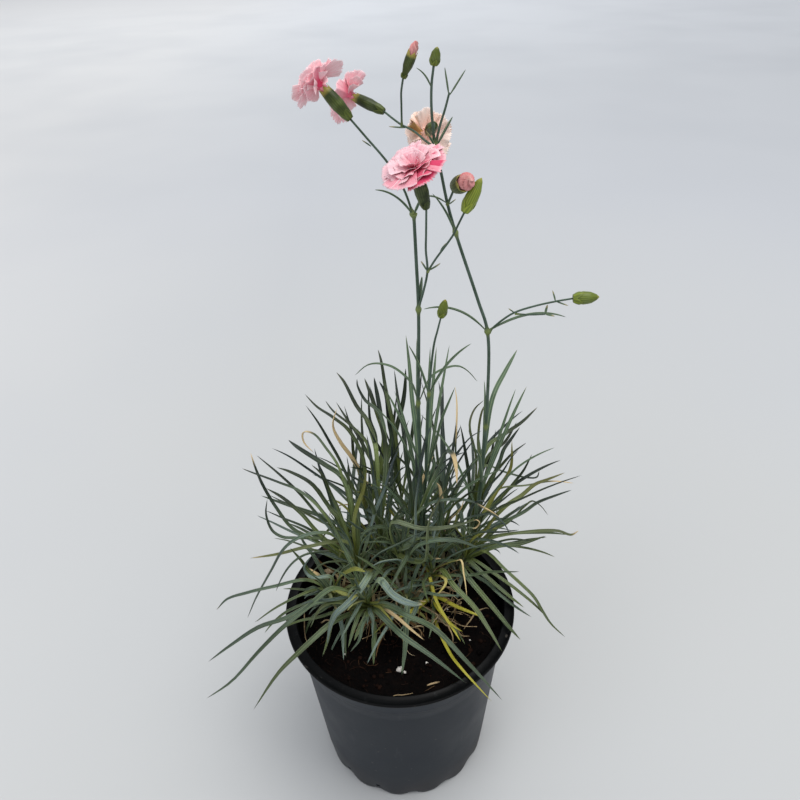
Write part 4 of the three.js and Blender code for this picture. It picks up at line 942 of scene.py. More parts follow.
# Where the random numbers start for the pieces that are strewn over the soil.
SEEDS = {"crumbs": 901, "fibres": 902, "grains": 903, "strands": 904}
# The soil's mesh, and its loose crumbs: how many, and how far from the pot's axis.
SOIL_SIDES = 220
SOIL_RINGS = 84
CRUMBS = 900
CRUMB_REACH = 80


def on_soil(x, y, above=0.0):
    """The point at a height above the soil's crumbly surface."""
    return np.array([x, y, soil_height(x, y) + crumb_height(x, y) + above])


def make_soil(material):
    """The soil down to the pot's floor, with a crumbly top and loose crumbs on it."""
    piece = Piece()
    angles = circle(SOIL_SIDES)
    points = []
    bottom = POT["floor"] + SOIL["gap"]
    for z in (bottom, POT["collar_height"], SOIL["level"] - 4):
        radius = pot_inner_radius(z) - 0.3
        points += [(radius * math.cos(a), radius * math.sin(a), z) for a in angles]
    top = pot_inner_radius(SOIL["level"]) - 0.25
    for k in range(SOIL_RINGS):
        radius = top * (1 - k / SOIL_RINGS) ** 0.85
        points += [on_soil(radius * math.cos(a), radius * math.sin(a)) for a in angles]
    piece.add(points, capped(3 + SOIL_RINGS, SOIL_SIDES), tint=0.0)
    draw = random_source(SEEDS["crumbs"])
    for k in range(CRUMBS):
        x, y = spot_within(draw, CRUMB_REACH)
        size = 0.5 + 1.6 * draw() ** 3
        shape, faces = lump(size, draw(0.6, 1.0), k, 1)
        piece.add(shape + on_soil(x, y, size * 0.2), faces, tint=draw() ** 2)
    piece.finish("soil_surface", material, "soil", "soil")


def seen_on_soil(pixel, above, margin=3.0):
    """The spot that the camera sees at a pixel, at a height above the soil, kept inside the pot's wall."""
    spot = np.array(seen_at(pixel, SOIL["level"] + above))
    reach = pot_inner_radius(SOIL["level"]) - margin
    spot[:2] *= min(1.0, reach / math.hypot(spot[0], spot[1]))
    return spot


# Pale threads and splinters that lie on the soil, as pixels and a radius.
FIBRE_PIXELS = [
    ([(391, 696), (396, 695), (403, 694), (413, 692)], 0.3), ([(427, 684), (433, 682), (440, 681)], 0.75),
    ([(446, 611), (458, 613), (472, 618)], 0.35), ([(353, 634), (366, 627), (386, 622)], 0.35),
]
# Pale dry threads just above the soil, as pixels, a height above it in millimetres and a radius.
THREAD_PIXELS = [
    ([(453, 587), (452, 598), (443, 612)], 4, 0.45),
    ([(445, 614), (454, 622), (463, 626), (477, 626)], 2, 0.5),
    ([(452, 611), (460, 612), (472, 617)], 1, 0.3), ([(304, 612), (304, 637), (300, 649)], 3, 0.5),
    ([(321, 621), (326, 620), (332, 621)], 4, 0.8), ([(373, 610), (376, 623), (385, 640)], 3, 0.45),
    ([(372, 613), (371, 620), (369, 627)], 3, 0.6), ([(362, 638), (372, 635), (387, 631)], 2, 0.3),
    ([(399, 579), (401, 588), (404, 594)], 8, 0.5), ([(391, 571), (397, 570), (403, 567)], 10, 0.4),
    ([(314, 596), (309, 602), (306, 606)], 4, 0.4), ([(412, 600), (418, 598), (424, 600)], 4, 0.4),
    ([(389, 560), (396, 565), (404, 562), (409, 556)], 14, 0.4),
    ([(436, 595), (434, 602), (427, 601)], 5, 0.4),
]
# How much of a thread's height each of its points has.
THREAD_LIFT = (0.4, 1, 1, 0.6)
# The peat fibres: how many, how far from the pot's axis they start and may reach, and their points.
FIBRES = 150
FIBRE_START = 77
FIBRE_REACH = 79
FIBRE_POINTS = 9


def make_fibres(material):
    """Peat fibres and root threads that lie on the soil."""
    piece = Piece()
    draw = random_source(SEEDS["fibres"])
    for _ in range(FIBRES):
        x, y = spot_within(draw, FIBRE_START)
        heading, bend = draw(0, 6.28), draw(-2.4, 2.4)
        length, thick = 4 + 15 * draw() ** 2, draw(0.1, 0.24)
        line = []
        for s in np.linspace(0, 1, FIBRE_POINTS):
            if math.hypot(x, y) > FIBRE_REACH:
                break
            line.append(on_soil(x, y, 0.2 + 0.9 * math.sin(math.pi * s) * draw(0.2, 1)))
            x += math.cos(heading + bend * s) * length / (FIBRE_POINTS - 1)
            y += math.sin(heading + bend * s) * length / (FIBRE_POINTS - 1)
        if len(line) < 4:
            continue
        piece.tube(line, thick * np.linspace(1, 0.5, len(line)), 5, tint=0.9 * draw() ** 1.3)
    for pixels, radius in FIBRE_PIXELS:
        spots = [seen_on_soil(pixel, 2) for pixel in pixels]
        line = curve_through([on_soil(spot[0], spot[1], 0.7) for spot in spots], 14)
        piece.tube(line, radius * (1 - np.linspace(-0.9, 0.9, 14) ** 4), 6, tint=1.0)
    for pixels, above, radius in THREAD_PIXELS:
        spots = [seen_on_soil(pixel, 2 + above) for pixel in pixels]
        for spot, share in zip(spots, THREAD_LIFT):
            spot[2] = SOIL["level"] + 2 + above * share
        piece.tube(curve_through(spots, 16), radius * np.linspace(1.0, 0.5, 16), 6, tint=1.0)
    piece.finish("soil_fibres", material, "dry_leaf")


# The perlite grains that are seen, the first of them a large one, and the pebble.
PERLITE_PIXELS = [(399, 671), (366, 626), (427, 664), (345, 655), (470, 640)]
PEBBLE_PIXEL = (320, 567)
# How many more grains there are, and how far from the pot's axis.
MORE_GRAINS = 14
GRAIN_REACH = 74


def make_grains(material, pebble_material):
    """White perlite grains, and one beige pebble near the left wall."""
    piece = Piece()
    draw = random_source(SEEDS["grains"])
    for k, pixel in enumerate(PERLITE_PIXELS):
        spot = seen_on_soil(pixel, 1)
        size = 2.0 if k == 0 else draw(0.6, 1.1)
        for part in range(3 if k == 0 else 1):
            shape, faces = lump(size * (1 - 0.25 * part), 0.8, 40 + k + part, 2)
            shift = on_soil(spot[0] + part * 2.2, spot[1] + part * (3.4 - 2.2 * part), size * 0.5)
            piece.add(shape + shift, faces)
    for k in range(MORE_GRAINS):
        x, y = spot_within(draw, GRAIN_REACH)
        shape, faces = lump(draw(0.4, 0.8), 0.8, 60 + k, 1)
        piece.add(shape + on_soil(x, y, 0.3), faces)
    piece.finish("perlite", material, "soil")
    pebble = Piece()
    spot = seen_on_soil(PEBBLE_PIXEL, 0, 7)
    shape, faces = lump(3.0, 0.7, 77, 3)
    pebble.add(shape * np.array([1.25, 0.85, 1]) + on_soil(spot[0], spot[1], 1.2), faces)
    pebble.finish("pebble", pebble_material, "soil")


# ---- Leaves ----


def leaf_line(leaf):
    """Points along a leaf, its directions, its level vectors across, its upper normals and its widths."""
    s = np.linspace(0, 1, LEAF["steps"] + 1)
    azimuth = leaf["azimuth"] + leaf["sweep"] * s**2
    rise = leaf["rise"] - leaf["droop"] * s**1.5
    if "curl" in leaf:
        rise = rise - leaf["curl"] * smooth((s - 0.5) / 0.5) ** 2
        azimuth = azimuth + leaf["kink"] * smooth((s - leaf["kink_at"]) / 0.08)
    direction = np.stack([np.cos(azimuth) * np.cos(rise), np.sin(azimuth) * np.cos(rise), np.sin(rise)], 1)
    level = np.stack([-np.sin(azimuth), np.cos(azimuth), 0 * s], 1)
    turn = (leaf["twist"] * s)[:, None]
    across = level * np.cos(turn) + np.cross(direction, level) * np.sin(turn)
    normal = np.cross(direction, across)
    outward = np.array([math.cos(leaf["azimuth"]), math.sin(leaf["azimuth"]), 0])
    start = np.asarray(leaf["root"], float) + outward * leaf["offset"]
    step = leaf["length"] / LEAF["steps"]
    at = start + np.vstack([np.zeros(3), np.cumsum(direction[:-1] * step, 0)])
    root_width = LEAF["root_width"]
    width = leaf["width"] * (root_width + (1 - root_width) * smooth(s / 0.3)) * (1 - s**4.2) ** 0.8
    return s, at, across, normal, width


def traced_line(leaf):
    """The same as leaf_line, for a blade along a line of points."""
    s = np.linspace(0, 1, LEAF["steps"] + 1)
    at = curve_through(leaf["line"], len(s))
    ahead = np.vstack([at[1:], at[-1:] * 2 - at[-2:-1]]) - at
    direction = ahead / np.linalg.norm(ahead, axis=1, keepdims=True)
    side = unit(np.cross([0, 0, 1.0], at[-1] - at[0] + np.array([0.01, 0, 0])))
    across = []
    for d, turn in zip(direction, leaf["twist"] * s):
        side = unit(side - d * side.dot(d))
        across.append(side * math.cos(turn) + np.cross(d, side) * math.sin(turn))
    across = np.array(across)
    root_width = LEAF["root_width"]
    width = leaf["width"] * (root_width + (1 - root_width) * smooth(s / 0.2)) * (1 - s**4.2) ** 0.8
    return s, at, across, np.cross(direction, across), width


def aimed_leaf(leaf, tip):
    """A leaf turned and lengthened about its root so that it ends at a given tip."""
    chord = np.asarray(tip, float) - leaf["root"]
    aimed = leaf | {"azimuth": azimuth_of(chord), "rise": rise_of(chord), "length": np.linalg.norm(chord)}
    for _ in range(4):
        reach = leaf_line(aimed)[1][-1] - leaf["root"]
        aimed["azimuth"] += azimuth_of(chord) - azimuth_of(reach)
        aimed["rise"] += rise_of(chord) - rise_of(reach)
        aimed["length"] *= np.linalg.norm(chord) / np.linalg.norm(reach)
    return aimed


# Across a leaf's section: share of its half width, and 1 for its upper face or 0 for its lower one.
SECTION = [(-1, 1), (-0.55, 1), (0, 1), (0.55, 1), (1, 1), (0.6, 0), (0, 0), (-0.6, 0)]
# How deep a leaf's channel is, as a share of its half width.
FOLD = 0.42


def add_leaf(
    piece, leaf, tint, straw=0.0, straw_from=0.8, yellow=0.0, wave=0.0, fold=FOLD, bow=0.0, slim=1.0
):
    """Adds a blade: channelled above, with a keel below, thin edges and a pointed tip."""
    s, at, across, normal, width = traced_line(leaf) if "line" in leaf else leaf_line(leaf)
    at = at + normal * (bow * np.sin(np.pi * s))[:, None]
    if wave:
        sway = wave * np.sin(2 * np.pi * (s * 1.3 + tint)) * np.sin(np.pi * s) ** 1.5
        at = at + normal * sway[:, None] + across * (0.6 * sway * np.cos(5 * s + 9 * tint))[:, None]
    half = slim * width / 2
    full = slim * leaf["width"] / 2
    body = 0.35 + 0.65 * half / full
    rows = []
    for share, upper in SECTION:
        height = fold * half * (abs(share) ** 1.4 - 0.45)
        if not upper:
            height = height - (0.28 + 0.5 * (1 - abs(share))) * body * min(1.0, full / 1.6)
        rows.append(at + across * (share * half)[:, None] + normal * height[:, None])
    rings = np.array(rows).transpose(1, 0, 2)[:-1]
    columns = len(SECTION)
    points = np.vstack([rings.reshape(-1, 3), at[-1:]])
    along = np.append(np.repeat(s[:-1], columns), 1.0)
    aside = np.append(np.tile([share for share, _ in SECTION], len(s) - 1), 0.0)
    dry = straw * smooth((along - straw_from) / 0.14)
    piece.add(
        points, pointed(len(s) - 1, columns),
        along=along, aside=aside, tint=tint, straw=dry, yellow=yellow, blade=1.0,
    )


class Matcher:
    """Finds which of a leaf's tries the model used, by the tip that it left in the node's mesh."""

    def __init__(self, node):
        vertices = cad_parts[node].data.vertices
        self.tree = kdtree.KDTree(len(vertices))
        for vertex in vertices:
            self.tree.insert(vertex.co / MM, vertex.index)
        self.tree.balance()

    def leaf(self, seed, variant):
        """The leaf as it stands in the model, or the first try and False."""
        best = None
        for attempt in range(LEAF["tries"]):
            leaf = variant(random_source(seed * 1009 + attempt * 7919 + 1), attempt)
            distance = self.tree.find(Vector(leaf_line(leaf)[1][-1]))[2]
            if best is None or distance < best[0]:
                best = (distance, leaf)
            if distance < 0.05:
                break
        return best[1], best[0] < LEAF["match"]


def shoot_points(at, heart):
    """A shoot's foot, where it leaves the soil, its middle and its growing tip."""
    foot = np.array([*at, SOIL["level"] - STEM_DEPTH + SEAT_GAP])
    ground = np.array([*at, SOIL["level"] + 6.0])
    middle = lerp(ground, heart, 0.5) + np.array([0, 0, 2])
    return foot, ground, middle, np.array(heart, float)


def leaned(lean, azimuth, rise):
    """The azimuth and rise of a leaf that stands at azimuth and rise about a leaning stem."""
    level = math.cos(rise)
    direction = Vector((math.cos(azimuth) * level, math.sin(azimuth) * level, math.sin(rise)))
    direction.rotate(lean)
    return azimuth_of(direction), rise_of(direction)


def shoot_leaf_rule(shoot, pair, which):
    _, at, heart, pairs, length, spread, seed = shoot
    _, ground, _, tip = shoot_points(at, heart)
    lean = UP.rotation_difference(Vector(tip - ground))
    up = pair / (pairs - 1)
    root = lerp(ground, tip, 0.3 + 0.67 * up)
    fullness = 0.62 + 0.46 * math.sin(math.pi * (0.18 + 0.62 * up))

    def variant(draw, attempt):
        loose = 1 + attempt * 0.25
        turn = seed + pair * math.pi / 2 + which * math.pi + draw(-0.3, 0.3) * loose
        stand = math.radians(spread + (84 - spread) * up**0.9 + draw(-9, 9) * loose)
        azimuth, rise = leaned(lean, turn, stand)
        return {
            "root": root, "offset": ROOT_OFFSET["shoot"], "azimuth": azimuth, "rise": rise,
            "droop": math.radians(draw(10, 58) * (1 - 0.5 * up)), "sweep": draw(-0.5, 0.5),
            "twist": draw(-0.7, 0.7), "length": length * fullness * draw(0.8, 1.12),
            "width": draw(4.0, 5.4) * (1 - 0.2 * up),
        }

    return variant


def long_leaf_rule(row, offset, root_at):
    """A long leaf grows from higher on its stem the steeper it stands."""
    tip, droop, width = np.array(row[:3], float), row[3], row[4]

    def variant(draw, attempt):
        sway = np.array([draw(-1, 1), draw(-1, 1), draw(-1, 1)])
        steepness = max(0, rise_of(tip - root_at(0.5))) / (math.pi / 2)
        leaf = {
            "root": root_at(0.4 + 0.5 * steepness), "offset": offset,
            "droop": math.radians(droop + draw(-4, 4) * attempt), "sweep": 0,
            "twist": draw(-0.5, 0.5), "width": width,
        }
        return aimed_leaf(leaf, tip + sway * 1.6 * attempt)

    return variant


def withered_leaf_rule(stub, k):
    _, at, top, leaves, size, aim, fan, _ = stub
    root = np.array([*at, SOIL["level"] + top * (0.7 + 0.25 * k / leaves)])

    def variant(draw, attempt):
        share = k / (leaves - 1) - 0.5
        return {
            "root": root, "offset": ROOT_OFFSET["withered"],
            "azimuth": math.radians(aim + fan * share + draw(-12, 12) * (1 + attempt * 0.4)),
            "rise": math.radians(draw(14, 46)), "droop": math.radians(draw(30, 66)),
            "sweep": draw(-1.2, 1.2), "twist": draw(-1.5, 1.5),
            "length": size[0] * draw(0.6, 1.05), "width": size[1] * draw(0.8, 1.15),
        }

    return variant


def stem_point_at(name, z):
    """Where a flowering stem's main line is at a height."""
    line = FLOWER_STEMS[name]["runs"][0][0]
    k = next(i for i in range(1, len(line)) if line[i][2] >= z)
    a, b = line[k - 1], line[k]
    return lerp(a, b, (z - a[2]) / (b[2] - a[2]))


def stem_leaf_rule(stem_set, pair, which):
    stem, heights, turn, length, _ = stem_set
    root = stem_point_at(stem, heights[pair])

    def variant(draw, attempt):
        return {
            "root": root, "offset": ROOT_OFFSET["stem"],
            "azimuth": turn + pair * 1.57 + which * math.pi + draw(-0.25, 0.25) * (1 + attempt * 0.3),
            "rise": math.radians(draw(62, 78) - attempt), "droop": math.radians(draw(6, 42)),
            "sweep": draw(-0.4, 0.4), "twist": draw(-0.6, 0.6),
            "length": length * (1 - 0.11 * pair) * draw(0.82, 1.08),
            "width": draw(3.6, 4.6) * (1 - 0.07 * pair),
        }

    return variant


# Long leaves whose lines are read from the view: the pixels that they pass between root and tip.
LEAF_PATHS = {
    ("shoot_front", 0): [(350, 592), (330, 589), (306, 609), (283, 628), (258, 653), (231, 682)],
    ("shoot_front", 1): [(344, 602), (317, 603), (285, 619), (258, 628), (231, 645)],
    ("shoot_front", 2): [(355, 612), (341, 618), (329, 625), (300, 651), (279, 672)],
    ("shoot_front", 3): [(345, 607), (336, 614), (331, 623), (328, 640)],
    ("shoot_front", 4): [(360, 612), (355, 624)],
    ("shoot_front", 5): [(376, 610), (392, 626), (403, 636), (430, 655)],
    ("shoot_front", 6): [(386, 606), (408, 616), (434, 629), (465, 660)],
    ("shoot_front_mid", 0): [(408, 600), (406, 623), (405, 648)],
    ("shoot_left_tuft", 0): [(308, 580), (273, 587), (248, 593), (227, 599)],
    ("shoot_left_tuft", 1): [(319, 589), (300, 595), (277, 607)],
    ("shoot_left", 0): [(333, 535), (317, 533), (298, 539), (283, 551), (271, 570), (256, 597)],
    ("shoot_left", 1): [(330, 541), (296, 538), (283, 537), (272, 530), (266, 514)],
    ("shoot_left", 3): [(346, 542), (308, 547), (279, 554)],
    ("shoot_left", 4): [(317, 505), (298, 490), (279, 483), (256, 474)],
    ("shoot_left", 5): [(315, 540), (292, 528), (277, 509), (262, 484), (255, 467)],
    ("shoot_left", 6): [(315, 530), (300, 512), (283, 498)],
    ("shoot_left", 7): [(340, 520), (329, 507), (312, 484), (290, 472)],
    ("shoot_left", 8): [(344, 480), (325, 465), (300, 449)],
    ("shoot_left", 9): [(342, 520), (333, 497), (322, 475)],
    ("shoot_left", 10): [(357, 525), (353, 507), (349, 482)],
    ("shoot_left", 11): [(354, 528), (356, 511), (364, 488)],
    ("shoot_left", 12): [(368, 540), (376, 510), (384, 488), (392, 465)],
    ("shoot_left_back", 0): [(365, 470), (350, 432), (333, 417), (317, 407)],
    ("shoot_centre_left", 0): [(370, 455), (365, 440), (350, 424), (333, 411)],
    ("shoot_centre_left", 1): [(376, 450), (373, 438), (367, 420), (356, 405), (344, 382)],
    ("shoot_centre_left", 2): [(386, 470), (385, 440)],
    ("shoot_back_left", 0): [(384, 440), (377, 413), (369, 390)],
    ("shoot_back", 0): [(396, 440), (388, 400), (385, 382), (381, 361)],
    ("shoot_right", 0): [(505, 507), (522, 495), (534, 486), (547, 480)],
    ("shoot_right", 1): [(500, 525), (526, 511), (538, 503), (557, 495)],
    ("shoot_right", 2): [(490, 539), (526, 532), (557, 531), (571, 535)],
    ("shoot_right", 3): [(488, 547), (505, 544), (526, 540)],
    ("shoot_right", 4): [(490, 546), (510, 546), (526, 548), (542, 552)],
    ("shoot_right", 5): [(484, 551), (505, 570), (522, 585), (534, 597), (543, 612), (551, 624)],
    ("shoot_right", 6): [(474, 560), (492, 572), (513, 587), (534, 604)],
    ("shoot_right", 7): [(470, 562), (488, 578), (509, 596)],
    ("shoot_right", 8): [(463, 570), (484, 597), (505, 622)],
    ("shoot_right", 9): [(463, 551), (453, 543), (438, 538), (415, 540)],
    ("shoot_right_front", 0): [(442, 570), (453, 585), (474, 607), (488, 628)],
    ("shoot_middle_front", 0): [(411, 522), (428, 505), (449, 500), (470, 501), (484, 507), (497, 515)],
    ("shoot_right_back", 0): [(488, 447), (505, 434), (522, 422)],
    ("shoot_right_back", 1): [(488, 457), (505, 442)],
    ("shoot_right_back", 2): [(490, 480), (500, 467), (513, 453)],
    ("shoot_right_back", 3): [(500, 500), (513, 484), (524, 470)],
    ("shoot_right_back", 4): [(497, 490), (526, 485), (547, 482), (563, 482)],
    ("shoot_right_back", 5): [(484, 466), (505, 472), (526, 478), (537, 477)],
    ("shoot_right_back", 6): [(505, 525), (524, 507), (532, 501), (540, 505)],
    ("flower_stem_left", 2): [(413, 386), (405, 376), (392, 366), (379, 363), (367, 365)],
    ("flower_stem_left", 3): [(432, 376), (449, 367), (459, 366), (467, 370)],
    ("flower_stem_right", 0): [(492, 400), (505, 372)],
    ("yellow_leaves", 0): [(430, 577), (436, 600), (442, 612), (453, 629)],
    ("yellow_leaves", 1): [(436, 622), (448, 650), (461, 668)],
}
# How a long leaf is coloured: its tone, how much straw at its tip and from where, and how yellow.
LEAF_TONES = {
    ("shoot_front", 0): (0.4, 0.0, 1.0, 0.0), ("shoot_front", 1): (0.55, 0.0, 1.0, 0.0),
    ("shoot_front", 2): (0.35, 0.0, 1.0, 0.05), ("shoot_front", 5): (0.55, 0.0, 1.0, 0.0),
    ("shoot_front", 6): (0.4, 0.0, 1.0, 0.0), ("shoot_front_mid", 0): (0.45, 0.0, 1.0, 0.0),
    ("shoot_left_tuft", 0): (0.6, 0.3, 0.9, 0.0), ("shoot_left", 0): (0.65, 0.0, 1.0, 0.0),
    ("shoot_left", 1): (0.45, 0.0, 1.0, 0.0), ("shoot_left", 3): (0.5, 0.4, 0.85, 0.2),
    ("shoot_left", 4): (0.4, 0.2, 0.9, 0.0), ("shoot_left", 5): (0.4, 1.0, 0.84, 0.0),
    ("shoot_left", 8): (0.4, 0.0, 1.0, 0.0), ("shoot_left", 11): (0.05, 0.0, 1.0, 0.25),
    ("shoot_left", 12): (1.0, 0.0, 1.0, 0.0), ("shoot_middle_front", 0): (0.75, 1.0, 0.62, 0.0),
    ("shoot_right", 0): (0.35, 0.3, 0.9, 0.2), ("shoot_right", 1): (0.5, 0.0, 1.0, 0.0),
    ("shoot_right", 2): (0.3, 1.0, 0.8, 0.1), ("shoot_right_back", 4): (0.3, 1.0, 0.6, 0.1),
    ("shoot_right_back", 5): (0.4, 0.3, 0.9, 0.0), ("yellow_leaves", 0): (0.5, 0.0, 1.0, 1.0),
    ("yellow_leaves", 1): (0.5, 0.2, 0.9, 1.0),
}


# The share of their width in the model that the leaves have here, and that the long ones of some nodes have.
LEAF_SLIM = 0.78
NEAR_SLIM = {"shoot_front": 0.9, "shoot_front_mid": 1.0, "shoot_right_front": 0.85, "yellow_leaves": 0.7}


def path_between(root, pixels, tip):
    """The root, the places seen at the pixels, whose distance back changes evenly on the way, and the tip."""
    depths = np.linspace(root[1], tip[1], len(pixels) + 2)[1:-1]
    return [root, *(np.array(seen_at_depth(pixel, depth)) for pixel, depth in zip(pixels, depths)), tip]


def add_rule_leaves(piece, matcher, node, rows, offset, root_at, seed):
    """Adds a node's long leaves."""
    for i, row in enumerate(rows):
        leaf, _ = matcher.leaf(seed * 100 + 50 + i, long_leaf_rule(row, offset, root_at(row)))
        draw = random_source(seed * 31 + i)
        tone = (draw(), draw() ** 2 * 0.5, 0.93, 0.0)
        tint, straw, straw_from, yellow = LEAF_TONES.get((node, i), tone)
        if (node, i) in LEAF_PATHS:
            line = path_between(np.array(leaf["root"]), LEAF_PATHS[node, i], leaf_line(leaf)[1][-1])
            leaf = {"line": line, "width": leaf["width"], "twist": leaf["twist"]}
        slim = NEAR_SLIM.get(node, LEAF_SLIM)
        add_leaf(piece, leaf, tint, straw, straw_from, yellow, wave=draw(0.1, 0.8), slim=slim)


def add_crown_leaves(piece, shoot, count):
    """Adds a shoot's younger leaves, some of them curled or bent, and the small ones round its foot."""
    _, at, heart, _, length, spread, seed = shoot
    _, ground, _, tip = shoot_points(at, heart)
    lean = UP.rotation_difference(Vector(tip - ground))
    draw = random_source(seed * 613)
    for k in range(count):
        up = draw() ** 0.8
        azimuth, rise = leaned(lean, draw(0, 6.28), math.radians(spread + (86 - spread) * up + draw(-14, 14)))
        curl, kink = draw(), draw()
        leaf = {
            "root": lerp(ground, tip, 0.06 + 0.9 * up), "offset": 0.6, "azimuth": azimuth, "rise": rise,
            "droop": math.radians(draw(0, 60)), "sweep": draw(-0.9, 0.9), "twist": draw(-1.4, 1.4),
            "length": length * draw(0.35, 0.8), "width": draw(2.6, 4.6), "curl": 1.8 * (curl > 0.72) * curl,
            "kink": draw(-1.2, 1.2) * (kink > 0.85), "kink_at": draw(0.3, 0.8),
        }
        dry = draw()
        straw, yellow = (1.0, 0.0) if dry > 0.9 else (0.0, 0.5 * (dry < 0.1))
        add_leaf(piece, leaf, draw(), straw, draw(0.3, 0.9), yellow, wave=draw(0, 1.6), slim=LEAF_SLIM)


# Leaves read from the view, by the shoot that carries them: where on its stem they root, points after that
# as pixels and distance back, the width, the twist, the tone, the straw with where it starts, and the yellow.
TRACED_LEAVES = [
    ("left", 0.7, [(340, 470, 40), (326, 448, 52), (314, 434, 62), (304, 432, 66),
                   (304, 442, 66), (314, 453, 62)],
     2.4, 0.6, 0.3, 1, 0.5, 0),
    ("left_back", 0.8, [(362, 480, 70), (352, 458, 74), (340, 442, 76), (333, 426, 78), (337, 408, 80)],
     3.4, 1.4, 0.6, 1, 0.2, 0.2),
    ("centre", 0.6, [(428, 490, 20), (440, 466, 18), (447, 452, 14), (453, 455, 8),
                     (456, 468, 4), (457, 485, 0)],
     4.0, 0.4, 0.5, 1, 0.6, 0),
    ("centre", 0.8, [(452, 470, 60), (456, 440, 70), (457, 405, 84), (455, 386, 92)],
     1.6, 0.6, 0.4, 1, 0.45, 0),
    ("right", 0.4, [(500, 546, 20), (520, 544, 20), (546, 536, 24)], 4.0, 0.3, 0.1, 0, 1, 0),
    ("right", 0.5, [(468, 527, 10), (475, 528, 8), (480, 523, 6), (477, 520, 6), (470, 522, 8)],
     1.6, 2.0, 0.4, 1, 0.3, 0),
    ("front", 0.9, [(380, 580, -20), (392, 594, -30), (404, 601, -34), (414, 604, -36), (423, 604, -36)],
     5.6, 0.5, 1.0, 0.5, 0.86, 0),
    ("left", 0.2, [(370, 574, -6), (357, 594, -22), (345, 606, -32), (336, 614, -40), (330, 626, -50),
                   (327, 645, -66)],
     5.2, -0.5, 0.95, 0, 1, 0),
    ("front", 0.5, [(352, 603, -22), (330, 603, -28), (322, 607, -32), (315, 617, -40)],
     4.2, 0.4, 0.3, 0, 1, 0.1),
    ("front", 0.4, [(366, 616, -28), (360, 628, -38), (354, 641, -48)], 4.2, 0.2, 0.2, 0, 1, 0.05),
    ("left_tuft", 0.6, [(330, 577, -4), (316, 578, -4), (308, 575, 0), (304, 567, 4), (311, 557, 12)],
     3.2, 1.2, 0.95, 0, 1, 0),
    ("left_tuft", 0.9, [(341, 576, -2), (349, 571, -4), (356, 569, -6), (366, 572, -10)],
     4.4, 0.6, 0.0, 0, 1, 0.35),
    ("left_tuft", 0.8, [(336, 590, -10), (348, 596, -16), (358, 598, -20)], 3.4, 0.8, 0.0, 0, 1, 0.4),
    ("left_tuft", 0.7, [(330, 594, -10), (334, 604, -18), (338, 612, -22)], 2.6, -0.6, 0.8, 0.6, 0.7, 0.3),
    ("left_tuft", 0.5, [(350, 586, -8), (362, 584, -12), (372, 588, -16)], 3.6, 0.5, 0.1, 0, 1, 0.2),
    ("left_tuft", 0.4, [(330, 603, -14), (318, 612, -20), (310, 628, -30)], 3.0, 0.5, 0.5, 0, 1, 0.1),
    ("front", 0.95, [(362, 590, -12), (356, 580, -8), (346, 578, -6)], 4.0, 0.7, 0.2, 0, 1, 0.2),
    ("front", 0.8, [(380, 604, -20), (392, 614, -28), (408, 627, -38), (424, 640, -50)],
     2.8, 0.4, 0.4, 1, 0.3, 0.3),
    ("centre_left", 0.5, [(414, 540, 6), (415, 500, 14), (421, 460, 26), (431, 424, 40)],
     6.4, 0.3, 0.95, 0, 1, 0),
    ("centre_left", 0.6, [(424, 560, -6), (430, 520, 2), (450, 480, 14)], 4.6, 0.6, 0.45, 0, 1, 0.1),
    ("middle_front", 0.5, [(420, 545, -4), (452, 540, -6), (480, 548, -6)], 4.0, 0.5, 0.6, 0, 1, 0),
    ("middle_front", 0.6, [(392, 522, 10), (420, 528, 4), (450, 527, 2), (476, 520, 6)],
     3.4, 0.9, 0.65, 0, 1, 0.1),
    ("middle_front", 0.3, [(398, 560, -4), (385, 560, -6), (372, 566, -10)], 3.2, 0.9, 0.9, 0, 1, 0),
    ("right_front", 0.7, [(456, 560, -8), (461, 561, -12), (464, 575, -20), (467, 597, -32)],
     1.5, 0.7, 0.5, 0.7, 0.2, 0.6),
    ("right_front", 0.5, [(443, 577, -8), (446, 583, -14), (437, 595, -22)], 2.6, 0.7, 0.5, 0.3, 0.2, 0.9),
    ("right", 0.5, [(472, 540, 20), (486, 530, 22), (498, 528, 22)], 3.0, 0.6, 0.0, 0, 1, 0.35),
    ("right", 0.6, [(462, 536, 26), (456, 524, 28), (458, 508, 32)], 3.0, 0.6, 0.0, 0, 1, 0.3),
    ("right", 0.9, [(480, 520, 34), (494, 496, 44), (510, 470, 54), (512, 440, 64)],
     3.6, 0.8, 0.0, 0.3, 0.9, 0.3),
    ("right_back", 0.6, [(480, 470, 66), (478, 440, 78), (482, 412, 92), (486, 403, 98)],
     2.2, 0.5, 0.3, 0, 1, 0.1),
    ("right_back", 0.7, [(476, 460, 74), (470, 425, 88), (474, 410, 98), (484, 400, 100)],
     1.9, 0.5, 0.5, 0, 1, 0.1),
    ("back_left", 0.9, [(384, 440, 76), (382, 420, 82), (377, 393, 92), (374, 377, 96)],
     4.2, 0.3, 0.5, 0, 1, 0),
    ("back_left", 0.9, [(391, 445, 78), (390, 425, 84), (386, 394, 92), (379, 381, 96)],
     3.8, 0.4, 0.4, 0, 1, 0),
    ("back_left", 0.7, [(376, 440, 74), (370, 416, 82), (368, 388, 90)], 2.4, 0.4, 0.4, 0, 1, 0),
    ("centre_left", 0.7, [(385, 440, 62), (379, 413, 76), (364, 400, 84), (358, 387, 88), (357, 379, 90)],
     3.4, 0.6, 0.5, 0, 1, 0),
    ("back", 0.9, [(395, 440, 84), (401, 412, 92), (405, 389, 98), (405.6, 368, 102)],
     4.0, 0.4, 0.2, 0, 1, 0),
    ("back", 0.8, [(392, 450, 80), (394, 420, 88), (397, 393, 94)], 2.6, 0.4, 0.4, 0, 1, 0),
    ("right_back", 0.8, [(500, 460, 60), (508, 444, 68), (520, 427, 76)], 3.4, 0.4, 0.5, 0, 1, 0),
]


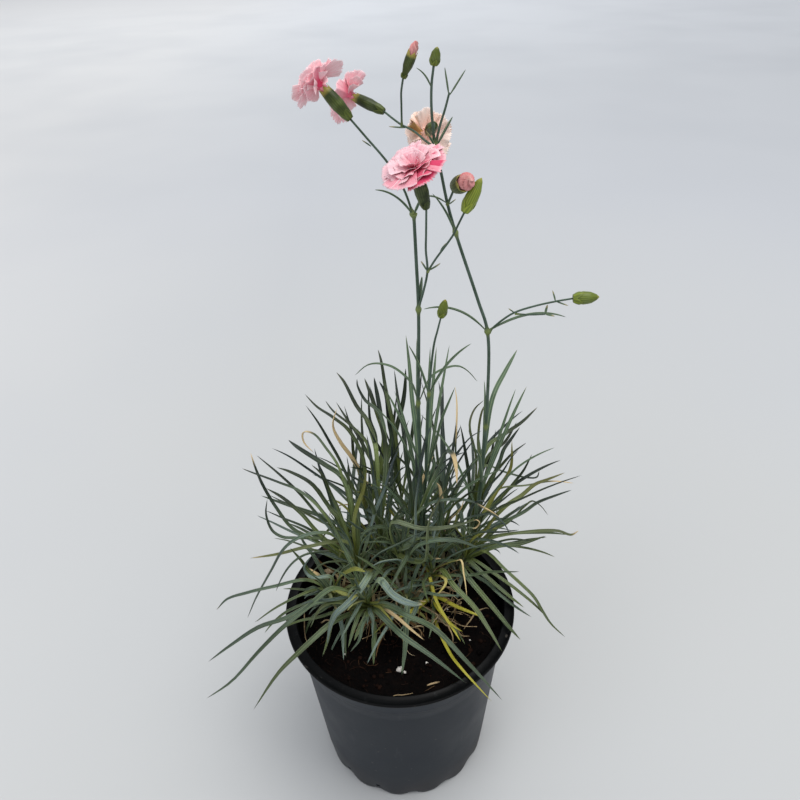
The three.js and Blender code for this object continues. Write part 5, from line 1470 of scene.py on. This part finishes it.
def add_traced_leaves(piece, shoot):
    """Adds the leaves that are read from the view to the shoot that carries them."""
    name, at, heart, *_ = shoot
    _, ground, _, tip = shoot_points(at, heart)
    for k, (carrier, share, places, width, twist, *tones) in enumerate(TRACED_LEAVES):
        if carrier == name:
            line = [lerp(ground, tip, share), *(seen_at_depth(place[:2], place[2]) for place in places)]
            leaf = {"line": line, "width": width, "twist": twist}
            add_leaf(piece, leaf, *tones, wave=0.3 + 0.02 * k)


# How many dry leaves clasp a shoot's foot.
SHEATHS = 7


def add_sheaths(piece, shoot):
    """Adds the short, mostly dry leaves that clasp a shoot's foot."""
    _, at, heart, *_, seed = shoot
    foot, ground, _, _ = shoot_points(at, heart)
    root = lerp(ground, foot, 0.3)
    draw = random_source(seed * 811)
    for k in range(SHEATHS):
        leaf = {
            "root": root, "offset": 1.4, "azimuth": 0.9 * k + draw(-0.3, 0.3),
            "rise": math.radians(draw(72, 87)), "droop": math.radians(draw(-4, 26)),
            "sweep": draw(-0.3, 0.3), "twist": draw(-0.4, 0.4),
            "length": draw(18, 36), "width": draw(3.0, 4.4),
        }
        add_leaf(piece, leaf, draw(), draw(0.1, 0.7), draw(0, 0.5), wave=draw(0, 0.8), fold=0.9)


# A shoot's stem: the points along it and round it, and the share of its thickness in the model.
SHOOT_STEPS = 16
SHOOT_SIDES = 10
SHOOT_SLIM = 0.8
# How many leaves a shoot's crown has, and how many those shoots have that don't have the usual count.
CROWN_LEAVES = 9
CROWN_LEAVES_OF = {
    "front": 18, "front_mid": 12, "left_tuft": 12, "centre": 12, "back": 8, "right": 14, "left": 12,
}


def make_shoot(shoot, material):
    """A leafy shoot: its stem, the leaves that the model has, and the finer ones that it leaves out."""
    name, at, heart, pairs, _, _, seed = shoot
    node = f"shoot_{name}"
    matcher = Matcher(node)
    points = shoot_points(at, heart)
    piece = Piece()
    line = curve_through(points, SHOOT_STEPS)
    share = np.linspace(0, 1, SHOOT_STEPS)
    thick = lerp(SHOOT_STEM["low"], SHOOT_STEM["high"], share)
    radii = SHOOT_SLIM * thick * (1 - 0.93 * smooth((share - 0.55) / 0.45))
    piece.tube(
        line, radii, SHOOT_SIDES, along=np.repeat(0.1 + 0.5 * share, SHOOT_SIDES),
        aside=np.tile(np.sin(np.linspace(0, 6.28, SHOOT_SIDES)), SHOOT_STEPS), tint=0.4,
        straw=np.repeat(0.5 * smooth(1.6 - 2 * share), SHOOT_SIDES),
    )

    def root_at(_):
        return lambda share: lerp(points[1], points[3], share)

    add_rule_leaves(piece, matcher, node, LONG_LEAVES.get(node, []), ROOT_OFFSET["shoot"], root_at, seed)
    for pair in range(pairs):
        for which in (0, 1):
            leaf_seed = seed * 100 + pair * 2 + which
            leaf, found = matcher.leaf(leaf_seed, shoot_leaf_rule(shoot, pair, which))
            draw = random_source(leaf_seed * 7)
            tone = draw()
            straw = 1.0 if tone > 0.82 else 0.5 * (tone > 0.6)
            shorter = leaf if found else leaf | {"length": leaf["length"] * 0.8}
            yellow = 0.6 * (tone < 0.06)
            bow = leaf["length"] * draw(-0.06, 0.06)
            add_leaf(
                piece, shorter, draw(), straw, draw(0.7, 0.95), yellow, wave=draw(0.3, 2.4), bow=bow,
                slim=LEAF_SLIM,
            )
    add_crown_leaves(piece, shoot, CROWN_LEAVES_OF.get(name, CROWN_LEAVES))
    add_traced_leaves(piece, shoot)
    add_sheaths(piece, shoot)
    piece.finish(f"{node}_leaves", material, "leaf", node)


STUB_STEPS = 8
STUB_SIDES = 9


def make_withered(stub, material, slot):
    """A short stub in the soil with yellowed or dry leaves."""
    name, at, top, leaves, _, _, _, seed = stub
    matcher = Matcher(name)
    piece = Piece()
    foot = np.array([*at, SOIL["level"] - STEM_DEPTH + SEAT_GAP])
    crown = np.array([*at, SOIL["level"] + top])
    line = [lerp(foot, crown, t) for t in np.linspace(0, 1, STUB_STEPS)]
    radii = np.linspace(STUB["low"], STUB["high"] * 0.7, STUB_STEPS)
    piece.tube(line, radii, STUB_SIDES, tint=0.3, yellow=0.6)
    root = np.array([*at, SOIL["level"] + top * 0.8])
    rows = LONG_LEAVES.get(name, [])
    add_rule_leaves(piece, matcher, name, rows, ROOT_OFFSET["withered"], lambda _: lambda share: root, seed)
    for k in range(leaves):
        leaf, _ = matcher.leaf(seed * 100 + k, withered_leaf_rule(stub, k))
        draw = random_source(seed * 13 + k)
        add_leaf(piece, leaf, draw(), yellow=1.0, wave=draw(0.6, 1.6), fold=0.9)
    piece.finish(f"{name}_blades", material, slot, name)


# How many dry strands curl over the soil.
STRANDS = 120


def make_tangle(material):
    """Thin dry leaves and threads that curl over the soil between the shoots."""
    piece = Piece()
    draw = random_source(SEEDS["strands"])
    for _ in range(STRANDS):
        x, y = draw(-34, 50), draw(-28, 32)
        leaf = {
            "root": (x, y, soil_height(x, y) + 16 * draw() ** 1.5), "offset": 0.0, "azimuth": draw(0, 6.28),
            "rise": draw(-0.2, 0.9), "droop": draw(0.2, 2.8), "sweep": draw(-3.2, 3.2), "twist": draw(-3, 3),
            "length": draw(10, 40), "width": draw(0.5, 1.3),
        }
        lift = min(0.0, leaf_line(leaf)[1][:, 2].min() - SOIL["level"] - 2)
        leaf["root"] = (x, y, leaf["root"][2] - lift)
        add_leaf(piece, leaf, draw(), wave=draw(0.5, 2.0), fold=1.2)
    piece.finish("dry_tangle", material, "dry_leaf")


# ---- Flowering stems ----


# The share of its thickness in the model that a flowering stem has, and the points round it.
STEM_SLIM = 0.68
STEM_SIDES = 14


def stem_radii(points, start, end, joints):
    """Radii along a stem that swells at its joints, and how near each point is to one."""
    points = np.asarray(points)
    radii = np.linspace(start, end, len(points))
    nearness = np.zeros(len(points))
    for x, y, z, radius in joints:
        away = np.linalg.norm(points - np.array([x, y, z]), axis=1)
        swelling = np.exp(-((away / 2.1) ** 2))
        radii = np.maximum(radii, radii + (0.84 * radius - radii) * swelling)
        nearness = np.maximum(nearness, np.exp(-((away / 3.0) ** 2)))
    return radii, nearness


def make_flower_stem(name, material):
    """A flowering stem with its branches, swollen joints, bracts and leaf pairs."""
    spec = FLOWER_STEMS[name]
    matcher = Matcher(name)
    piece = Piece()
    for k, (knots, start, end) in enumerate(spec["runs"]):
        if k == 0:
            foot = (knots[0][0], knots[0][1], SOIL["level"] - STEM_DEPTH + SEAT_GAP)
            knots = [foot, *knots]
        length = sum(math.dist(a, b) for a, b in zip(knots, knots[1:]))
        count = max(8, int(length / 1.1))
        line = curve_through(knots, count)
        near = spec["joints"] + [(*knots[0], start * 1.25)] if k else spec["joints"]
        radii, nearness = stem_radii(line, start * STEM_SLIM, end * STEM_SLIM, near)
        piece.tube(
            line, radii, STEM_SIDES, joint=np.repeat(nearness, STEM_SIDES) * 0.6,
            along=np.repeat(np.linspace(0, length / 60, count), STEM_SIDES),
            aside=np.tile(np.arange(STEM_SIDES) * 0.9, count),
        )
    for root, azimuth, rise, droop, length, width in spec["blades"]:
        leaf = {
            "root": root, "offset": ROOT_OFFSET["bract"], "azimuth": math.radians(azimuth),
            "rise": math.radians(rise), "droop": math.radians(droop), "sweep": 0, "twist": 0,
            "length": length, "width": width,
        }
        add_leaf(piece, leaf, 0.5, straw=0.4 if length < 12 else 0.0, straw_from=0.6, fold=0.6)
    seed = next(s[4] for s in STEM_LEAVES if s[0] == name)
    add_rule_leaves(
        piece, matcher, name, LONG_LEAVES[name], ROOT_OFFSET["stem"],
        lambda row: lambda share: stem_point_at(name, row[5]), seed,
    )
    for stem_set in STEM_LEAVES:
        if stem_set[0] != name:
            continue
        for pair in range(len(stem_set[1])):
            for which in (0, 1):
                leaf_seed = seed * 100 + pair * 2 + which
                leaf, found = matcher.leaf(leaf_seed, stem_leaf_rule(stem_set, pair, which))
                if found:
                    draw = random_source(leaf_seed * 7)
                    tint, straw = draw(), 0.6 * (draw() > 0.7)
                    add_leaf(piece, leaf, tint, straw, 0.9, wave=draw(0.2, 0.8), slim=LEAF_SLIM)
    piece.finish(f"{name}_fine", material, "stem", name)


# ---- Calyxes, blooms and buds ----


def lathe(piece, matrix, rows, sides, closed_tip=False, **values):
    """Adds a skin round an axis. Each row gives radius and height, as a number or as one for each side."""
    angles = circle(sides)
    points = []
    for radius, height in rows:
        height = np.broadcast_to(height, (sides,))
        points.append(np.stack([radius * np.cos(angles), radius * np.sin(angles), height], 1))
    points = placed(np.array(points).reshape(-1, 3), matrix)
    faces = capped(len(rows), sides)
    if closed_tip:
        faces = pointed(len(rows) - 1, sides)
        points = points[: (len(rows) - 1) * sides + 1]
    count = len(points)
    values = {k: (np.repeat(v, sides)[:count] if np.ndim(v) else v) for k, v in values.items()}
    piece.add(points, faces, aside=np.tile(angles / (2 * np.pi), len(rows))[:count], **values)


def calyx_teeth(length, angles, turn=0.0):
    """The height of a calyx's edge: five pointed teeth."""
    phase = np.abs(((angles + turn) / (2 * np.pi) * 5 + 0.5) % 1 - 0.5) * 2
    return length + CALYX["tooth"] * (0.5 - phase**0.9)


# How many scales clasp a calyx's foot, and the rows and columns of points of each.
SCALES = 4
SCALE_GRID = (9, 9)


def add_scales(piece, matrix, length, radius, tint, turn=0.0):
    """Adds the short pointed scales that clasp a calyx's foot."""
    rows, columns = SCALE_GRID
    for k in range(SCALES):
        middle = turn + 2 * math.pi * k / SCALES
        tall = length * (0.34 if k % 2 else 0.4)
        outer, inner = [], []
        for r in range(rows):
            up = r / (rows - 1)
            height = 0.2 + up * tall
            spread = 0.95 * (1 - up**1.8) + 0.02
            belly = radius * (0.44 + 0.48 * math.sin(min(1, height / (length * 0.3)) * math.pi / 2))
            for c in range(columns):
                a = middle + spread * (2 * c / (columns - 1) - 1)
                for ring, lift in ((outer, 0.55 - 0.2 * up), (inner, 0.1)):
                    reach = belly + lift
                    ring.append((reach * math.cos(a), reach * math.sin(a), height))
        add_sheet(
            piece, placed(outer, matrix), placed(inner, matrix), rows, columns,
            along=np.repeat(np.linspace(0.1, 0.9, rows), columns),
            aside=np.tile(np.linspace(0, 1, columns), rows) * 0.12, tint=tint + 0.15,
        )


def add_sheet(piece, top, bottom, rows, columns, **values):
    """Adds a thin closed sheet from its two faces, each a grid of rows and columns."""
    count = rows * columns
    upper = grid_faces(rows, columns, closed=False)
    lower = [[i + count for i in face][::-1] for face in upper]
    rim = list(range(columns))
    rim += [r * columns + columns - 1 for r in range(1, rows)]
    rim += [(rows - 1) * columns + c for c in range(columns - 2, -1, -1)]
    rim += [r * columns for r in range(rows - 2, 0, -1)]
    edge = [[b, a, a + count, b + count] for a, b in zip(rim, rim[1:] + rim[:1])]
    doubled = {k: np.tile(np.broadcast_to(v, (count,)), 2) for k, v in values.items()}
    piece.add(np.vstack([top, bottom]), upper + lower + edge, **doubled)


# The share of its radius in the model that a calyx has here.
CALYX_SLIM = {
    "calyx_front": 0.9, "calyx_left": 0.88, "calyx_behind": 0.8, "calyx_faded": 0.88, "bud_tall": 0.88,
    "bud_opening": 1.0,
}
CALYX_SIDES = 60
# The width of a calyx at OUTLINE_UPS of its height, as a share of its radius, up to that of its mouth.
MOUTH = 0.8
OUTLINE_UPS = [0, 0.07, 0.2, 0.48, 0.74, 1]
OUTLINES = {
    "calyx": [0.42, 0.66, 0.84, 1.04, 0.98, MOUTH], "bud_tall": [0.3, 0.42, 0.6, 0.96, 1.04, 0.96],
    "bud_opening": [0.4, 0.7, 0.92, 1.06, 1.06, 1.0],
}


def make_calyx(name, base, axis, length, radius, material, node, tint=0.06):
    """A ribbed cup with a thin toothed edge and scales at its foot."""
    matrix = stand_on(base, axis)
    piece = Piece()
    radius = radius * CALYX_SLIM[name]
    outline = OUTLINES.get(name, OUTLINES["calyx"])
    angles = circle(CALYX_SIDES)
    ribs = 1 + 0.012 * np.cos(5 * angles) + 0.006 * np.cos(30 * angles)
    ups = [0, 0.03, 0.07, 0.12, 0.18, 0.26, 0.36, 0.48, 0.6, 0.72, 0.84, 0.93]
    widths = np.interp(ups, OUTLINE_UPS, outline)
    rows = [
        (radius * share * ribs, SEAT_GAP + (length - SEAT_GAP) * up) for up, share in zip(ups, widths)
    ]
    edge = calyx_teeth(length, angles)
    mouth = radius * outline[-1]
    inner = mouth - CALYX["wall"]
    rows += [
        (mouth * 1.01, lerp(length * 0.93, edge, 0.6)),
        (mouth * (1 + 0.05 * (edge - length) / CALYX["tooth"]), edge),
        (mouth * 0.97, edge - 0.1),
        (inner * 0.98, lerp(length * 0.85, edge, 0.4)),
        (inner * 0.9, length - CALYX["cup"]),
    ]
    lathe(piece, matrix, rows, CALYX_SIDES, along=[*ups, 0.96, 1.0, 1.0, 0.9, 0.7], tint=tint)
    scaled = length * (0.5 if name == "bud_tall" else 0.9)
    add_scales(piece, matrix, scaled, radius * outline[2], tint, turn=0.4)
    piece.finish(f"{name}_cup", material, "calyx", node)


# The share of its length in the model that a closed bud has here.
BUD_SHORT = {"bud_top": 0.88, "bud_young": 0.92}
BUD_SIDES = 50


def make_closed_bud(name, base, axis, length, radius, material, node, tint):
    """A closed green bud whose folds wind to its tip."""
    matrix = stand_on(base, axis)
    piece = Piece()
    length = length * BUD_SHORT.get(name, 1.0)
    angles = circle(BUD_SIDES)
    ups = [0, 0.03, 0.07, 0.12, 0.2, 0.3, 0.38, 0.48, 0.58, 0.68, 0.76, 0.83, 0.89, 0.94, 0.975, 1.0]
    shares = np.interp(ups, [0, 0.1, 0.38, 0.66, 0.9, 1.0], [0.4, 0.8, 1, 0.88, 0.42, 0.02])
    rows = []
    for up, share in zip(ups, shares):
        folds = 0.015 + 0.1 * smooth((up - 0.55) / 0.35)
        ring = 1 - folds * np.abs(np.sin(2.5 * (angles + 1.1 * up))) ** 0.7 + folds * 0.4
        rows.append((radius * share * ring, SEAT_GAP + (length - SEAT_GAP) * up))
    lathe(piece, matrix, rows, BUD_SIDES, closed_tip=True, along=np.array(ups) * 0.93, tint=tint)
    add_scales(piece, matrix, length, radius, tint, turn=0.2)
    piece.finish(f"{name}_sepals", material, "calyx", node)


# How wide a bud's petals are, as a share of the mouth that they come from.
DOME = {"bud_tall": 1.0, "bud_opening": 1.12}
FURL_SIDES = 96


def make_furled_tip(name, base, axis, length, radius, tip, material, node):
    """The furled petals of an opening bud: overlapping folds wound round its axis."""
    matrix = stand_on(base, axis)
    piece = Piece()
    inner = radius * CALYX_SLIM[name] - CALYX["wall"] - 0.15
    floor = length - CALYX["cup"] + SEAT_GAP
    steps = [0.0, 0.12, 0.24, 0.36, 0.48, 0.6, 0.7, 0.79, 0.87, 0.93, 0.98, 1.0]
    heights = np.array([floor, length - 1.5, *(length + tip * np.array(steps))])
    shares = np.array([0.8, 0.9, 0.97, 1.03, 1.07, 1.07, 1.04, 0.97, 0.87, 0.74, 0.56, 0.37, 0.18, 0.03])
    shares[4:] *= DOME[name]
    angles = circle(FURL_SIDES)
    rows = []
    for k, (height, share) in enumerate(zip(heights, shares)):
        depth = 0.05 + 0.3 * smooth((k - 2) / 6)
        fold = ((4 * angles / (2 * np.pi) + 0.2 * k) % 1) ** 1.5
        rows.append((inner * share * (1 - depth * fold), height - 1.1 * smooth((k - 4) / 5) * fold))
    along = 0.42 + 0.5 * (heights - floor) / (length + tip - floor)
    lathe(piece, matrix, rows, FURL_SIDES, closed_tip=True, along=along, tint=0.4, blush=0.45)
    piece.finish(f"{name}_furled", material, "bud_petal", node)


# How many steps a petal's bend is summed in, and the rows and columns of points of each of its faces.
BEND_STEPS = 12
PETAL_GRID = (18, 37)


def petal_point(petal, along, aside):
    """Points of a petal in its bloom's frame, for arrays of along (0 to 1) and aside (-1 to 1)."""
    reach = along * (1 - (0.16 + 0.2 * petal["furl"]) * aside * aside)
    out = petal["root_radius"] + 0 * reach
    up = petal["lift"] - PETAL["root_depth"] + 0 * reach
    for k in range(BEND_STEPS):
        angle = petal["tilt"] * smooth(reach * (k + 0.5) / BEND_STEPS / 0.4)
        out = out + np.sin(angle) * petal["length"] * reach / BEND_STEPS
        up = up + np.cos(angle) * petal["length"] * reach / BEND_STEPS
    bend = petal["tilt"] * smooth(reach / 0.4)
    half = PETAL["claw"] / 2 + (petal["width"] / 2 - PETAL["claw"] / 2) * along**0.85
    wave = petal["ruffle"] * along**2 * np.sin(petal["waves"] * aside + petal["phase"])
    frill = petal["frill"] * along**4 * np.sin(3.1 * petal["waves"] * aside + 2 * petal["phase"])
    cup = petal["cup"] * along * aside * aside + petal["roll"] * along * aside
    crease = -petal["crease"] * along * np.exp(-((aside / 0.25) ** 2))
    lift = wave + cup + frill + crease
    radial = out - np.cos(bend) * lift
    height = up + np.sin(bend) * lift
    c, s = math.cos(petal["azimuth"]), math.sin(petal["azimuth"])
    side = aside * half * (1 - petal["furl"] * along * (1 - along))
    return np.stack([radial * c - side * s, radial * s + side * c, height], -1)


def add_petal(piece, petal, matrix):
    """Adds a petal: a thin ruffled fan with a toothed edge."""
    rows, columns = PETAL_GRID
    along, aside = np.meshgrid(np.linspace(0, 1, rows), np.linspace(-1, 1, columns), indexing="ij")
    teeth = np.abs((aside * petal["teeth"] + petal["phase"]) % 1 - 0.5) * 2
    deep = 0.5 + 0.5 * np.sin(aside * 5 + petal["phase"] * 3)
    place = along * (1 - (0.04 + 0.08 * deep) * teeth * smooth((along - 0.75) / 0.25))
    step = 0.01
    middle = petal_point(petal, place, aside)
    ahead = petal_point(petal, place + step, aside) - middle
    across = petal_point(petal, place, aside + step) - middle
    normal = np.cross(ahead, across)
    normal /= np.linalg.norm(normal, axis=-1, keepdims=True) + 1e-12
    thick = PETAL["thickness"] * (1.5 - 1.1 * along)[..., None] / 2
    top = placed((middle + normal * thick).reshape(-1, 3), matrix)
    bottom = placed((middle - normal * thick).reshape(-1, 3), matrix)
    tones = {key: petal[key] for key in ("tint", "blush", "tan", "pallor")}
    add_sheet(piece, top, bottom, rows, columns, along=along.reshape(-1), aside=aside.reshape(-1), **tones)


# The side of a bloom where its petals are deepest in colour, and how deep they are there.
DEEP_SIDE = unit((0.35, -0.9, -0.25))
DEPTH = {"front": 1.45, "left": 0.9, "behind": 0.6, "faded": 0.3}
# The share of the usual ruffle and frill that a bloom's outer petals have, and the most that they turn to
# be seen broad.
CALM = {"left": 0.8, "behind": 0.8, "faded": 1.8}
MOST_TURN = {"left": 3.0, "behind": 2.5, "faded": 0.0}
# The shares of the usual ruffle, cup and roll that a bloom's petals have, where they lie more evenly.
EVEN = {"front": (0.75, 0.5, 0.3)}
# Bloom petals whose edges stand right of this pixel column are painted near white, as painted light.
PALE_FROM = {"left": 328}


def broad_turn(petal, face, view, most):
    """How far a petal turns about its length so that its broad side faces the viewer."""
    def breadth(turned):
        ends = petal_point(petal | {"roll": turned}, np.array([0.85, 0.85]), np.array([-0.8, 0.8]))
        across = face[:3, :3] @ (ends[1] - ends[0])
        return np.linalg.norm(across - view * across.dot(view)) - 0.1 * abs(turned)

    return max(np.linspace(-most, most, 9), key=breadth)


def ring_petals(name, bundle, face, draw):
    """The petals that stand in rings round a bloom's face."""
    petals = []
    for r, (count, tilt, length, width, lift) in enumerate(PETAL_RINGS[name]):
        for i in range(count):
            azimuth = 2 * math.pi * (i + 0.45 * r) / count + draw(-0.16, 0.16)
            local = face[:3, :3] @ np.array([math.cos(azimuth), math.sin(azimuth), 0])
            forward = max(0.0, float(local.dot(DEEP_SIDE)))
            shrink = 1 - 0.26 * forward * (r > 0) - 0.08 * float(local[0])
            petals.append({
                "azimuth": azimuth, "tilt": math.radians(tilt + draw(-8, 8)),
                "length": length * shrink * draw(0.92, 1.07),
                "width": width * draw(0.9, 1.1), "lift": lift, "root_radius": bundle * (1 - 0.15 * r),
                # Painted light on the petals at the bloom's left side.
                "blush": forward * DEPTH[name], "pallor": 0.6 * max(0.0, -float(local[0])),
                "tan": 0.0, "furl": 0.0, "turned": 0.0,
            })
    return petals


def seen_petals(name, bundle, mouth, face, draw):
    """The petals whose edges are read from the view, each bent so that its edge's middle is there."""
    petals = []
    start = Vector(CAMERA["at"]) / MM
    for pixel, near, width, tan in SEEN_PETALS[name]:
        ray = (seen_at(pixel, SOIL["level"]) - start).normalized()
        tip = start + ray * ((Vector(mouth) - start).dot(ray) - near)
        target = face[:3, :3].T @ (np.array(tip) - mouth)
        # Painted light makes these petals paler, in place of the light that shines through them.
        petal = dict.fromkeys(("ruffle", "waves", "phase", "cup", "roll", "frill", "crease"), 0.0) | {
            "width": width, "lift": 1.0, "root_radius": bundle * 0.6,
            "blush": draw(0, 0.15), "pallor": 0.3 + draw(0, 0.6), "tan": tan, "furl": 0.25,
        }
        if pixel[0] > PALE_FROM.get(name, IMAGE_SIZE):
            petal["pallor"] = 0.9
        aim = target
        for _ in range(8):
            petal["azimuth"] = math.atan2(aim[1], aim[0])
            petal["tilt"] = math.atan2(math.hypot(aim[0], aim[1]), aim[2])
            petal["length"] = float(np.linalg.norm(aim))
            aim = aim + target - petal_point(petal, np.array(1.0), np.array(0.0))
        petal["turned"] = broad_turn(petal, face, np.array(ray), MOST_TURN[name])
        petals.append(petal)
    return petals


# The share of its lift in the model that a bloom's petals have, where they spread lower here.
LOWER = {"left": 0.6, "behind": 0.6}


def make_bloom(flower, material, slot):
    """The petals of a bloom, round a bundle of their claws that fills the calyx's mouth."""
    name, base, axis, face, length, radius, lift, seed = flower
    direction = unit(axis)
    mouth = np.array(base, float) + direction * length
    bundle = (radius * CALYX_SLIM[f"calyx_{name}"] * MOUTH - CALYX["wall"]) * 0.93
    piece = Piece()
    rows = [(bundle * share, height) for share, height in (
        (0.8, SEAT_GAP - CALYX["cup"]), (1.0, 1), (1.15, lift), (0.8, lift + 1), (0.3, lift + 2.5),
    )]
    lathe(piece, stand_on(mouth, axis), rows, 24, along=0.15, tint=0.5)
    lift = lift * LOWER.get(name, 1.0)
    middle = mouth + direction * lift
    face_matrix = stand_on(middle, face)
    draw = random_source(seed * 97)
    petals = ring_petals(name, bundle, face_matrix, draw)
    if name in SEEN_PETALS:
        petals += seen_petals(name, bundle, middle, face_matrix, draw)
    ruffled, cupped, rolled = EVEN.get(name, (1.0, 1.0, 1.0))
    for petal in petals:
        calm = CALM[name] if petal["furl"] else 1.0
        petal |= {
            "ruffle": calm * ruffled * draw(0.5, 1.2), "waves": draw(3.0, 5.0), "phase": draw(0, 6.28),
            "cup": cupped * draw(-0.6, 1.4), "roll": petal["turned"] + rolled * draw(-0.8, 1.4),
            "frill": calm * draw(0.1, 0.35), "crease": draw(0.1, 0.7),
            "teeth": draw(7, 11) * (0.65 if petal["furl"] else 1), "tint": draw(),
        }
        add_petal(piece, petal, face_matrix)
    piece.finish(f"bloom_{name}", material, slot, f"petals_{name}")


# ---- Assembly ----


def add_floor():
    shape = bmesh.new()
    bmesh.ops.create_grid(shape, x_segments=4, y_segments=4, size=FLOOR_HALF_WIDTH)
    mesh = bpy.data.meshes.new("floor")
    shape.to_mesh(mesh)
    shape.free()
    mesh.materials.append(floor_paint())
    floor = add_object("floor", mesh)


add_camera()
add_world()
for light in LIGHTS:
    add_light(*light)
add_floor()
bpy.context.scene.view_settings.view_transform = "Standard"

leaf_material = leaf_paint()
dry_material = withered_paint()
stem_material = stem_paint()
calyx_material = calyx_paint()
pink_material = petal_paint(
    "petal_pink", rgb(238, 180, 190), rgb(206, 64, 100), rgb(240, 212, 217), rgb(150, 22, 56)
)
# Painted light: a paler copy of the pink for the blooms at the left and behind, in place of the light that
# shines through their petals.
pink_painted_light_material = petal_paint(
    "petal_pink_painted_light", rgb(255, 190, 200), rgb(222, 72, 108), rgb(255, 227, 230), rgb(150, 22, 56)
)
peach_material = petal_paint(
    "petal_peach", rgb(249, 217, 200), rgb(234, 162, 138), rgb(254, 239, 230), rgb(196, 118, 96)
)
bud_petal_material = petal_paint(
    "bud_petal", rgb(220, 146, 142), rgb(176, 86, 98), rgb(236, 200, 188), rgb(120, 44, 64)
)

make_pot(pot_paint())
make_soil(soil_paint())
make_fibres(fibre_paint())
make_grains(
    stone_paint("perlite", rgb(235, 232, 226), rgb(190, 184, 174)),
    stone_paint("pebble", rgb(205, 186, 152), rgb(160, 134, 100)),
)
for shoot in SHOOTS:
    make_shoot(shoot, leaf_material)
for stub in WITHERED:
    yellow = stub[0] == "yellow_leaves"
    make_withered(stub, leaf_material if yellow else dry_material, "yellow_leaf" if yellow else "dry_leaf")
make_tangle(dry_material)
for stem_name in FLOWER_STEMS:
    make_flower_stem(stem_name, stem_material)
petal_materials = {
    "front": pink_material, "left": pink_painted_light_material, "behind": pink_painted_light_material,
    "faded": peach_material,
}
for flower in FLOWERS:
    name, base, axis, _, length, radius, _, _ = flower
    make_calyx(f"calyx_{name}", base, axis, length, radius, calyx_material, f"calyx_{name}")
    make_bloom(flower, petal_materials[name], "petal_peach" if name == "faded" else "petal_pink")
for name, base, axis, length, radius, tip in BUDS:
    node = f"bud_{name}"
    if tip:
        make_calyx(node, base, axis, length, radius, calyx_material, node, BUD_TINTS[name])
        make_furled_tip(node, base, axis, length, radius, tip, bud_petal_material, f"{node}_petals")
    else:
        make_closed_bud(node, base, axis, length, radius, calyx_material, node, BUD_TINTS[name])
